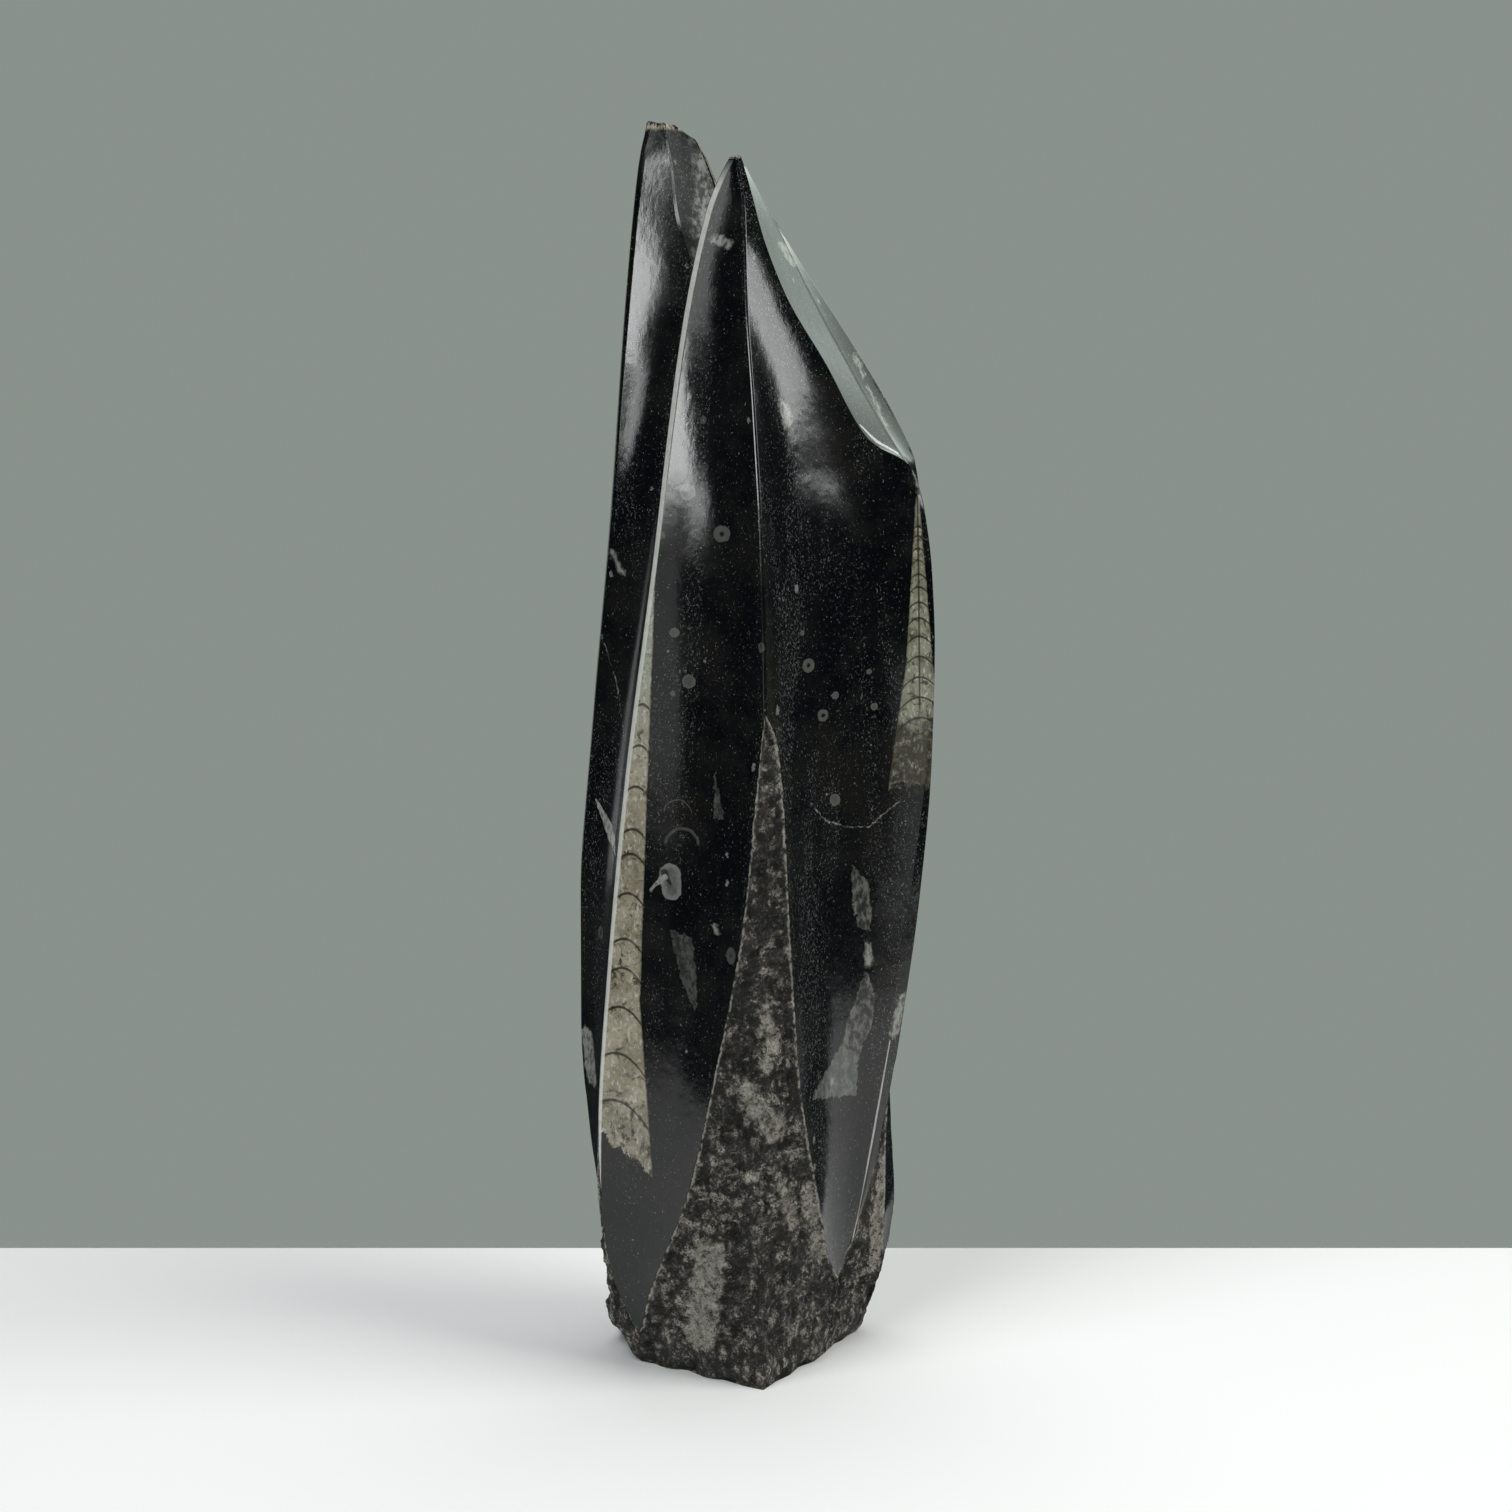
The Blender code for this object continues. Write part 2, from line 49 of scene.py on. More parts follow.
stone = dict(
    node="orthoceras_stone",
    slot="polished_fossil_limestone",
    towerHeight=400,
    frontTip=(-6, -8.8, 386.6),
    saddleHeight=352,
    saddleRise=3,
    rearOpening=0.43,
    frontOpening=0.49,
    openingPower=0.65,
    breakStartX=-26,
    breakSlope=0.75,
    breakChip=1.6,
    breakGrain=5,
    breakReach=6,
    frontWallBow=0.16,
    rearWallBow=-0.08,
    tipDome=1.6,
    mostEdge=0.4,
    footFold=0.95,
    bluntHeight=180,
    bluntPower=0.7,
    lumpSize=11,
    lumpDepth=2.6,
    lumpBias=0.35,
    smallLump=0.5,
    smallLumpSize=2.1,
    fullLand=12,
    roughFoot=9,
    roughTop=1.6,
    shoulderFade=20,
    shoulderSteps=6,
    fluteSteps=18,
    landSteps=5,
    wallSteps=14,
    bladeRows=34,
    rowSpacing=[(12, 1.5), (280, 2.4), (304, 1.2), (352, 2.2)],
    capRings=6,
    flatLand=(5, 18),
    closedTongue=3,
    tongueTop=80,
    closedLandPull=1.6,
    landFlatness=0.85,
    # depth and girth on the walls of the valley, and in the broken top of the rear blade
    wallDepth=-5,
    wallGirth=7.5,
    brokenDepth=4,
    brokenGirth=8,
    capSlope=0.7,
    capGrain=1.7,
    capChip=0.8,
    capDip=0.5,
    refineFrom=-0.3,
    refineRounds=4,
    mostCorners=8,
    longestRoughEdge=1.15,
    ridges={
        "left": dict(
            line=[(0, -45, 15), (10, -51, 12), (45, -51.5, 10), (72, -55.5, 9), (110, -58, 8), (150, -58, 8),
                  (208, -53.9, 8), (273, -48, 8), (348, -42.4, 8), (384, -38.7, 8), (400, -35.9, 9)],
            edge=[(150, 2.5), (300, 3.2)], fold=0.6),
        "frontLeft": dict(
            line=[(0, -38, -14), (12, -46, -15), (30, -49.5, -18), (60, -50.5, -23), (85, -49.9, -25.5),
                  (130, -46.7, -27), (190, -40.8, -28), (257, -32, -25), (330, -22.8, -16),
                  (369, -14.7, -10.5), (380, -10.4, -9.5), (386, -7.2, -9)],
            edge=[(0, 1.2)], fold=0.6),
        "front": dict(
            line=[(0, 2.7, -42.2), (6, 3.4, -44), (50, 2.9, -46.5), (100, 3, -49), (160, 3.1, -50),
                  (215, 2.7, -48.5), (260, 1.8, -43), (306, -0.6, -35), (340, -2.8, -27), (369, -3.6, -17),
                  (386, -6, -10.4)],
            edge=[(0, 0.7)], fold=0.45),
        "right": dict(
            line=[(0, 24, -4), (6, 26, -5), (26, 28, -6), (54, 37.1, -2), (82, 43.4, 1), (109, 47.9, 2),
                  (150, 53.6, 4), (195, 57.3, 4), (230, 58, 3), (256, 56.9, 2.5), (274, 54.7, 3),
                  (286, 51.8, 4.5), (295, 46.2, 7.5), (308, 38.2, 8.5), (322, 30.1, 7), (344, 17.8, 1.5),
                  (369, 4.8, -4.5), (386, -4.6, -8.2)],
            edge=[(0, 0.5)], fold=0.6),
        "rearRight": dict(
            line=[(0, 35, 18), (6, 39.5, 19), (16, 42.5, 20), (30, 46, 22), (46, 47.1, 24), (70, 45.8, 25),
                  (100, 44.6, 26), (150, 48.4, 25), (200, 51.5, 24), (250, 52.5, 21), (280, 53.6, 19),
                  (292, 52.2, 18.5), (305, 46.6, 18), (330, 31.4, 13.5), (358, 12.2, 3.5), (378, -0.4, -4),
                  (386, -4.7, -7.6)],
            edge=[(0, 1)], fold=0.6),
        "rear": dict(
            line=[(0, 10, 42), (20, 12, 46), (100, 10, 50), (200, 8, 50), (260, 4, 46), (310, -2, 36),
                  (352, -6.5, 26), (380, -12.5, 18), (395, -18.5, 14), (400, -21, 13)],
            edge=[(0, 0.9)], fold=0.45),
        "rearLeft": dict(
            line=[(0, -32, 40), (20, -36, 42), (100, -39, 43), (200, -37, 40), (300, -34, 31),
                  (352, -32.5, 24), (385, -32, 19), (400, -29.5, 16)],
            edge=[(0, 1.2)], fold=0.6),
    },
    # each flute runs between two ridges; its lands are shares of the chord that the rough skin keeps,
    # and its lean is the share of the chord where it is deepest, the middle if it has none
    flutes=[
        dict(start="left", end="frontLeft",
             depth=[(42, 0.02), (110, 0.1), (200, 0.13), (262, 0.18), (290, 0.25), (312, 0.28), (343, 0.28),
                    (360, 0.2), (375, 0.125), (400, 0.06)],
             lean=[(200, 0.5), (290, 0.55), (312, 0.58), (328, 0.66), (343, 0.73)],
             startLand=[(42, 0.5), (70, 0.16), (98, 0)], endLand=[(42, 0.47), (62, 0.12), (88, 0)]),
        dict(start="frontLeft", end="front",
             depth=[(11, 0.02), (60, 0.09), (150, 0.13), (200, 0.12), (262, 0.08), (313, 0.06), (343, 0.05),
                    (370, 0.03)],
             startLand=[(11, 0.16), (40, 0.035), (85, 0)],
             endLand=[(11, 0.82), (32, 0.67), (62, 0.455), (105, 0.29), (148, 0.15), (190, 0.065), (215, 0)]),
        dict(start="front", end="right",
             depth=[(26, 0.02), (60, 0.08), (150, 0.12), (280, 0.12), (386, 0.08)],
             startLand=[(26, 0.95), (38, 0.7), (56, 0.5), (75, 0.36), (99, 0.245), (147, 0.147), (204, 0.072),
                        (215, 0)],
             endLand=[(26, 0.02), (40, 0)]),
        dict(start="right", end="rearRight",
             depth=[(24, 0.02), (100, 0.05), (200, 0.08), (290, 0.05), (360, 0)],
             startLand=[(24, 0.86), (55, 0.64), (75, 0.5), (88, 0.25), (97, 0)],
             endLand=[(24, 0.11), (48, 0)]),
        dict(start="rearRight", end="rear",
             depth=[(16, 0.02), (90, 0.11), (200, 0.14), (300, 0.18), (352, 0.25), (400, 0.08)],
             startLand=[(16, 0.4), (60, 0.1), (84, 0)],
             endLand=[(16, 0.56), (60, 0.3), (110, 0.13), (178, 0)]),
        dict(start="rear", end="rearLeft",
             depth=[(30, 0.02), (100, 0.12), (200, 0.14), (330, 0.12), (400, 0.03)],
             startLand=[(30, 0.57), (70, 0.28), (120, 0.11), (178, 0)],
             endLand=[(30, 0.4), (70, 0.17), (128, 0)]),
        dict(start="rearLeft", end="left",
             depth=[(20, 0.02), (90, 0.1), (200, 0.11), (330, 0.08), (400, 0.02)],
             startLand=[(20, 0.56), (60, 0.22), (128, 0)], endLand=[(20, 0.41), (60, 0.13), (98, 0)]),
    ],
    # the shoulder facet has cut the right ridge back from here
    uncutRight=[(256, 56.9, 2.5), (274, 54.7, 3), (286, 52.2, 3), (300, 49.5, 1.5), (322, 44, -3),
                (344, 37, -9), (386, 20, -15)],
    shoulderShare=[(26, 0.98), (60, 0.93), (110, 0.915), (165, 0.955), (200, 0.975), (289, 0.975),
                   (291, 0.96), (293, 0.92), (296, 0.83), (299, 0.775), (322, 0.58), (344, 0.32),
                   (369, 0.11), (386, 0.04)],
    shoulderStand=[(26, 0.1), (60, 0.6), (110, 0.9), (200, 0.4), (286, 0.4), (300, 0)],
)
ridges, flutes = stone["ridges"], stone["flutes"]


def smooth(value, low, high):
    t = min(1, max(0, (value - low) / (high - low)))
    return t * t * (3 - 2 * t)


# slope of the smooth line at one knot, flat where the line turns back
def knotSlope(knots, index, axis):
    def chord(i):
        return (knots[i + 1][axis] - knots[i][axis]) / (knots[i + 1][0] - knots[i][0])
    if index == 0:
        return chord(0)
    if index == len(knots) - 1:
        return chord(index - 1)
    before, after = chord(index - 1), chord(index)
    return 2 * before * after / (before + after) if before * after > 0 else 0


# value at a height on a smooth line through (height, value, ...) knots that never overshoots them
def along(knots, height):
    if height <= knots[0][0]:
        return knots[0][1:]
    if height >= knots[-1][0]:
        return knots[-1][1:]
    index = max(i for i in range(len(knots) - 1) if knots[i][0] <= height)
    span = knots[index + 1][0] - knots[index][0]
    t = (height - knots[index][0]) / span
    values = []
    for axis in range(1, len(knots[0])):
        start, end = knots[index][axis], knots[index + 1][axis]
        slopeIn, slopeOut = knotSlope(knots, index, axis), knotSlope(knots, index + 1, axis)
        bend = t * (t - 1) * ((t - 1) * slopeIn + t * slopeOut) * span
        values.append(start + (end - start) * t * t * (3 - 2 * t) + bend)
    return tuple(values)


def ridgePoint(name, height):
    return Vector(along(ridges[name]["line"], height))


# half the rounded edge of a ridge
def ridgeEdge(name, height):
    return along(ridges[name]["edge"], height)[0]


def outward(start, end):
    chord = end - start
    return Vector((chord.y, -chord.x)).normalized()


# width of the rough land that a flute leaves beside one of its ridges, beyond the ridge's rounded edge
def roughWidth(flute, side, height):
    chord = (ridgePoint(flute["end"], height) - ridgePoint(flute["start"], height)).length
    return along(flute[side + "Land"], height)[0] * chord - ridgeEdge(flute[side], height)


def landEdges(flute, height):
    start, end = ridgePoint(flute["start"], height), ridgePoint(flute["end"], height)
    width = (end - start).length
    shares = []
    for side in ("start", "end"):
        edge = min(stone["mostEdge"], ridgeEdge(flute[side], height) / width)
        shares.append(max(along(flute[side + "Land"], height)[0], edge))
    return start.lerp(end, shares[0]), end.lerp(start, shares[1])


# shares across a flute, closer together towards its ridges
def spread(steps, part):
    for step in range(steps + 1):
        turn = math.pi * step / steps
        if part == "whole":
            yield 0.5 - 0.5 * math.cos(turn)
        elif part == "ending":
            yield math.sin(turn / 2)
        else:
            yield 1 - math.cos(turn / 2)


# a point of the ring: its place, its depth in the rough land, its roughness, its girth (the number of its
# flute and the share across it) and whether it is on a crease
def spot(point, landDepth, rough, girth, crease=0):
    return dict(x=point.x, y=point.y, landDepth=landDepth, rough=rough, girth=girth, crease=crease)


# how deep in the rough land a point of a flute lies, in millimetres: less than nothing on the polish
def polishDepth(flute, height, share, width):
    startGap = share * width + max(0, -roughWidth(flute, "start", height))
    endGap = (1 - share) * width + max(0, -roughWidth(flute, "end", height))
    closing = max(0, stone["closedTongue"] - width) if height < stone["tongueTop"] else 0
    return closing - min(startGap, endGap)


def hollow(index, height, first=0, last=1, steps=None, part="whole"):
    flute = flutes[index]
    steps = steps or stone["fluteSteps"]
    start, end = landEdges(flute, height)
    if flute["start"] == "front":
        return shoulderedHollow(index, height, start, end, steps)
    width = (end - start).length
    depth = along(flute["depth"], height)[0] * width
    lean = along(flute["lean"], height)[0] - 0.5 if "lean" in flute else 0
    spots = []
    for way in spread(steps, part):
        share = first + (last - first) * way
        crown = 4 * share * (1 - share)
        point = start.lerp(end, share + lean * crown) - outward(start, end) * depth * crown
        spots.append(spot(point, polishDepth(flute, height, share, width), 0, index + 0.01 + 0.98 * share))
    return spots


# the front-right flute up to the shoulder line, and then the facet or bevel from there to the ridge
def shoulderedHollow(index, height, start, end, steps):
    flute = flutes[index]
    fullEnd = Vector(along(stone["uncutRight"], height)) if height > stone["uncutRight"][0][0] else end
    out = outward(start, fullEnd)
    width = (fullEnd - start).length
    depth = along(flute["depth"], height)[0] * width
    reach = along(stone["shoulderShare"], height)[0]
    stand = along(stone["shoulderStand"], height)[0] * min(1, (end - start).length / stone["shoulderFade"])
    spots = []
    for way in spread(steps, "whole"):
        share = reach * way
        proud = stand * smooth(way, 0.7, 1)
        point = start.lerp(fullEnd, share) + out * (proud - depth * 4 * share * (1 - share))
        landDepth = polishDepth(flute, height, share, width)
        spots.append(spot(point, landDepth, 0, index + 0.01 + share * 0.9, 1 if way == 1 else 0))
    crease = Vector((spots[-1]["x"], spots[-1]["y"]))
    for way in list(spread(stone["shoulderSteps"], "whole"))[1:]:
        landDepth = spots[steps]["landDepth"] * (1 - way) + polishDepth(flute, height, 1, width) * way
        spots.append(spot(crease.lerp(end, way), landDepth, 0, index + 0.91 + 0.08 * way))
    return spots


# the land of a ridge: rounded where it is narrow, two flat faces where it is wide
def land(name, height):
    before = next(flute for flute in flutes if flute["end"] == name)
    after = next(flute for flute in flutes if flute["start"] == name)
    left, right = landEdges(before, height)[1], landEdges(after, height)[0]
    blunted = min(1, height / stone["bluntHeight"]) ** stone["bluntPower"]
    fold = stone["footFold"] + (ridges[name]["fold"] - stone["footFold"]) * blunted
    corner = left.lerp(right, 0.5).lerp(ridgePoint(name, height), fold)
    leftRough, rightRough = roughWidth(before, "end", height), roughWidth(after, "start", height)
    roughness = min(1, (max(0, leftRough) + max(0, rightRough)) / stone["fullLand"])
    flatness = smooth((right - left).length, *stone["flatLand"])
    pull = corner * 2 - (left + right) * 0.5
    steps = stone["landSteps"]
    ridgeIndex = flutes.index(after)
    spots = []
    for step in range(1, 2 * steps):
        t = step / (2 * steps)
        bow = left * (1 - t) ** 2 + pull * (2 * t * (1 - t)) + right * t * t
        fromLeft = t < 0.5
        flat = left.lerp(corner, 2 * t) if fromLeft else corner.lerp(right, 2 * t - 1)
        sideWidth = (corner - left).length if fromLeft else (right - corner).length
        inside = sideWidth * (2 * t if fromLeft else 2 - 2 * t)
        lost = max(0, -(leftRough if fromLeft else rightRough))
        landDepth = inside - stone["closedLandPull"] * lost
        weight = roughness * min(1, 4 * min(t, 1 - t))
        point = bow.lerp(flat, flatness * stone["landFlatness"])
        spots.append(spot(point, landDepth, weight, ridgeIndex + (t - 0.5) * 0.018))
    return spots


def wholeRing(height):
    ring = []
    for index, flute in enumerate(flutes):
        ring += land(flute["start"], height) + hollow(index, height)
    foot = min(1, max(0, stone["roughTop"] - height / stone["roughFoot"]))
    for point in ring:
        point["rough"] = max(point["rough"], foot)
        point["landDepth"] = max(point["landDepth"], stone["roughFoot"] - height)
        point["z"] = height
    return ring


# ring of one blade at a share of its climb, its wall to the other blade last
def bladeRing(side, share):
    isFront = side == "front"
    fullTop = stone["frontTip"][2] if isFront else stone["towerHeight"]
    top = fullTop - stone["tipDome"] if isFront else fullTop
    height = stone["saddleHeight"] + (top - stone["saddleHeight"]) * share
    climb = max(0, (height - stone["saddleHeight"]) / (fullTop - stone["saddleHeight"]))
    opening = (stone["frontOpening"] if isFront else stone["rearOpening"]) * climb ** stone["openingPower"]
    half = stone["fluteSteps"] // 2
    first, own, last = (0, (1, 2, 3), 4) if isFront else (4, (5, 6), 0)
    ring = hollow(first, height, 0.5 + opening, 1, half, "ending")
    for index in own:
        ring += land(flutes[index]["start"], height) + hollow(index, height)
    ring += land(flutes[last]["start"], height) + hollow(last, height, 0, 0.5 - opening, half, "starting")
    for point in ring:
        point["z"] = height
    ring[0]["crease"] = ring[-1]["crease"] = 1
    start, end = Vector((ring[-1]["x"], ring[-1]["y"])), Vector((ring[0]["x"], ring[0]["y"]))
    bow = stone["frontWallBow"] if isFront else stone["rearWallBow"]
    for step in range(1, stone["wallSteps"]):
        across = step / stone["wallSteps"]
        crown = 4 * across * (1 - across)
        swell = outward(start, end) * bow * min(1, 2 * climb) * (end - start).length * crown
        point = spot(start.lerp(end, across) + swell, stone["wallDepth"], 0, stone["wallGirth"])
        point["z"] = height + stone["saddleRise"] * crown * (1 - share) ** 2
        ring.append(point)
    if not isFront:
        for point in ring:
            chip = noise.noise(Vector((point["x"], point["y"], point["z"])) / stone["breakGrain"]) + 0.5
            slope = stone["breakSlope"] * max(0, point["x"] - stone["breakStartX"])
            point["z"] -= (slope + stone["breakChip"] * chip) * share ** stone["breakReach"]
    return ring


def addSpot(mesh, layers, point):
    vert = mesh.verts.new((point["x"], point["y"], point["z"]))
    for name, layer in layers.items():
        vert[layer] = point[name]
    return vert


# a point that no flute or land makes: on a wall of the valley, or on the top of a blade
def addInner(mesh, layers, place, isBroken=False):
    vert = mesh.verts.new(place)
    vert[layers["landDepth"]] = stone["brokenDepth"] if isBroken else stone["wallDepth"]
    vert[layers["girth"]] = stone["brokenGirth"] if isBroken else stone["wallGirth"]
    return vert


def bridge(mesh, lower, upper):
    for i in range(len(lower)):
        j = (i + 1) % len(lower)
        mesh.faces.new((lower[i], lower[j], upper[j], upper[i]))


def rowHeights():
    heights = [0]
    for top, spacing in stone["rowSpacing"]:
        bottom = heights[-1]
        rows = round((top - bottom) / spacing)
        heights += [bottom + (top - bottom) * (row + 1) / rows for row in range(rows)]
    return heights


def addLowerStone(mesh, layers):
    lower = None
    for height in rowHeights():
        ring = [addSpot(mesh, layers, point) for point in wholeRing(height)]
        if lower:
            bridge(mesh, lower, ring)
        else:
            mesh.faces.new(list(reversed(ring)))
        lower = ring
    return lower


# closes the top of a blade: a smooth dome at the front, a rough broken face at the rear
def addCap(mesh, layers, ring, side):
    isBroken = side == "rear"
    centre = sum((vert.co for vert in ring), Vector()) / len(ring) if isBroken else Vector(stone["frontTip"])
    lower = ring
    for step in range(1, stone["capRings"]):
        share = step / stone["capRings"]
        upper = []
        for rim in ring:
            place = rim.co.lerp(centre, share)
            if isBroken:
                chip = noise.noise(place / stone["capGrain"])
                place.z -= max(0, stone["capSlope"] * share + chip) * stone["capChip"]
            else:
                place.z = rim.co.z + (centre.z - rim.co.z) * math.sqrt(1 - (1 - share) ** 2)
            upper.append(addInner(mesh, layers, place, isBroken))
        bridge(mesh, lower, upper)
        lower = upper
    dip = Vector((0, 0, stone["capDip"])) if isBroken else Vector()
    top = addInner(mesh, layers, centre - dip, isBroken)
    for i, vert in enumerate(lower):
        mesh.faces.new((vert, lower[(i + 1) % len(lower)], top))


def addBlade(mesh, layers, side, base):
    lower = base
    for row in range(1, stone["bladeRows"] + 1):
        share = row / stone["bladeRows"]
        upper = [addSpot(mesh, layers, point) for point in bladeRing(side, share)]
        bridge(mesh, lower, upper)
        lower = upper
    addCap(mesh, layers, lower, side)


# cuts the long edges of the rough lands until the skin is fine enough for its lumps and pits
def refineLands(mesh, layers):
    depth, most = layers["landDepth"], stone["mostCorners"]
    for _ in range(stone["refineRounds"]):
        long = [edge for edge in mesh.edges
                if all(vert[depth] > stone["refineFrom"] for vert in edge.verts)
                and edge.calc_length() > stone["longestRoughEdge"]
                and not any(len(face.verts) > most for face in edge.link_faces)]
        if not long:
            break
        bmesh.ops.subdivide_edges(mesh, edges=long, cuts=1, use_grid_fill=True)
        bmesh.ops.triangulate(mesh, faces=[face for face in mesh.faces if 4 < len(face.verts) <= most])


def lumpLands(mesh, layers):
    for vert in mesh.verts:
        rough = vert[layers["rough"]]
        if rough > 0:
            lump = noise.noise(vert.co / stone["lumpSize"])
            lump += stone["smallLump"] * noise.noise(vert.co * stone["smallLumpSize"] / stone["lumpSize"])
            inward = Vector((-vert.co.x, -vert.co.y, 0)).normalized()
            vert.co += inward * rough * stone["lumpDepth"] * (stone["lumpBias"] + lump)


def buildStone():
    mesh = bmesh.new()
    layers = {name: mesh.verts.layers.float.new(name) for name in ("landDepth", "rough", "girth", "crease")}
    ring = addLowerStone(mesh, layers)
    valley = 2 * stone["landSteps"] - 1 + stone["fluteSteps"] // 2
    fluteLength = 2 * stone["landSteps"] + stone["fluteSteps"]
    leftValley, rightValley = valley, valley + 4 * fluteLength + stone["shoulderSteps"]
    across = []
    for step in range(1, stone["wallSteps"]):
        share = step / stone["wallSteps"]
        place = ring[leftValley].co.lerp(ring[rightValley].co, share)
        place.z += stone["saddleRise"] * 4 * share * (1 - share)
        across.append(addInner(mesh, layers, place))
    addBlade(mesh, layers, "front", ring[leftValley:rightValley + 1] + across[::-1])
    addBlade(mesh, layers, "rear", ring[rightValley:] + ring[:leftValley + 1] + across)
    for edge in mesh.edges:
        edge.smooth = not (edge.verts[0][layers["crease"]] and edge.verts[1][layers["crease"]])
    refineLands(mesh, layers)
    lumpLands(mesh, layers)
    low, high = (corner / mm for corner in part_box(stone["node"]))
    for vert in mesh.verts:
        vert.co = Vector(min(max(vert.co[i], low[i]), high[i]) for i in range(3)) * mm
    for face in mesh.faces:
        face.smooth = len(face.verts) <= stone["mostCorners"]
    bmesh.ops.triangulate(mesh, faces=[face for face in mesh.faces if len(face.verts) > stone["mostCorners"]])
    data = bpy.data.meshes.new("fossilStone")
    mesh.to_mesh(data)
    mesh.free()
    return data


stoneMesh = buildStone()
print("stone shaped:", len(stoneMesh.polygons), "faces")


# a socket of a node tree that can be used in sums
class Wire:
    def __init__(self, tree, socket=None):
        self.tree = tree
        self.socket = socket

    def node(self, kind, settings, sockets, output=0):
        made = self.tree.nodes.new(kind)
        for name, value in settings.items():
            setattr(made, name, value)
        for name, value in sockets.items():
            if isinstance(value, Wire):
                self.tree.links.new(value.socket, made.inputs[name])
            else:
                made.inputs[name].default_value = value
        return Wire(self.tree, made.outputs[output])

    def maths(self, operation, *values):
        return self.node("ShaderNodeMath", dict(operation=operation), dict(enumerate(values)))

    def vector(self, operation, *values, output=0):
        return self.node("ShaderNodeVectorMath", dict(operation=operation), dict(enumerate(values)), output)

    def combine(self, operation, first, second):
        pair = (first, second)
        isVector = any(isinstance(v, tuple) or isinstance(v, Wire) and v.socket.type == "VECTOR"
                       for v in pair)
        if not isVector:
            return self.maths(operation, first, second)
        return self.vector(operation, *((v,) * 3 if isinstance(v, (int, float)) else v for v in pair))

    def __add__(self, other):
        return self.combine("ADD", self, other)

    def __radd__(self, other):
        return self.combine("ADD", other, self)

    def __sub__(self, other):
        return self.combine("SUBTRACT", self, other)

    def __rsub__(self, other):
        return self.combine("SUBTRACT", other, self)

    def __mul__(self, other):
        return self.combine("MULTIPLY", self, other)

    def __rmul__(self, other):
        return self.combine("MULTIPLY", other, self)

    def __truediv__(self, other):
        return self.combine("DIVIDE", self, other)

    def __rtruediv__(self, other):
        return self.combine("DIVIDE", other, self)

    def least(self, other):
        return self.maths("MINIMUM", self, other)

    def most(self, other):
        return self.maths("MAXIMUM", self, other)

    def size(self):
        return self.maths("ABSOLUTE", self)

    def length(self):
        return self.vector("LENGTH", self, output=1)

    # a fixed vector times this number
    def scale(self, vector):
        return self.node("ShaderNodeVectorMath", dict(operation="SCALE"), {0: tuple(vector), 3: self})

    def part(self, axis):
        return self.node("ShaderNodeSeparateXYZ", {}, {0: self}, axis)

    # soft step from 0 at low to 1 at high, or the other way round if low is the larger
    def ramp(self, low, high, start=0, end=1):
        return self.node("ShaderNodeMapRange", dict(interpolation_type="SMOOTHSTEP"),
                         {"Value": self, "From Min": low, "From Max": high, "To Min": start, "To Max": end})

    # noise at this place with the given grain size, about 0.5 on average
    def noise(self, size, detail=2, roughness=0.5, distortion=0, output=0):
        return self.node("ShaderNodeTexNoise", {}, {"Vector": self, "Scale": 1 / size, "Detail": detail,
                         "Roughness": roughness, "Distortion": distortion}, output)

    # noise as a push in any direction, at most about half a unit
    def sway(self, size, detail, roughness):
        return self.noise(size, detail, roughness, 0, 1) - (0.5, 0.5, 0.5)

    # distance to the middle of this place's cell, as a share of the given size, and the cell's random colour
    def cells(self, size):
        found = self.node("ShaderNodeTexVoronoi", dict(feature="F1"), {"Vector": self, "Scale": 1 / size})
        return found, Wire(self.tree, found.socket.node.outputs["Color"])

    # this factor mixes two colours
    def mix(self, first, second):
        return self.node("ShaderNodeMix", dict(data_type="RGBA"), {0: self, 6: first, 7: second}, 2)

    # this factor lays one of the tones over a colour
    def over(self, colour, tone):
        return self.mix(colour, tones[tone])


def addObject(name, data):
    made = bpy.data.objects.new(name, data)
    bpy.context.scene.collection.objects.link(made)
    return made


roughening = dict(
    lumpSize=5, lumpDepth=1.1,
    pitSize=1.9, pitDepth=0.75,
    ledgeSize=7, ledgeDepth=0.8,
    seed=4,
)


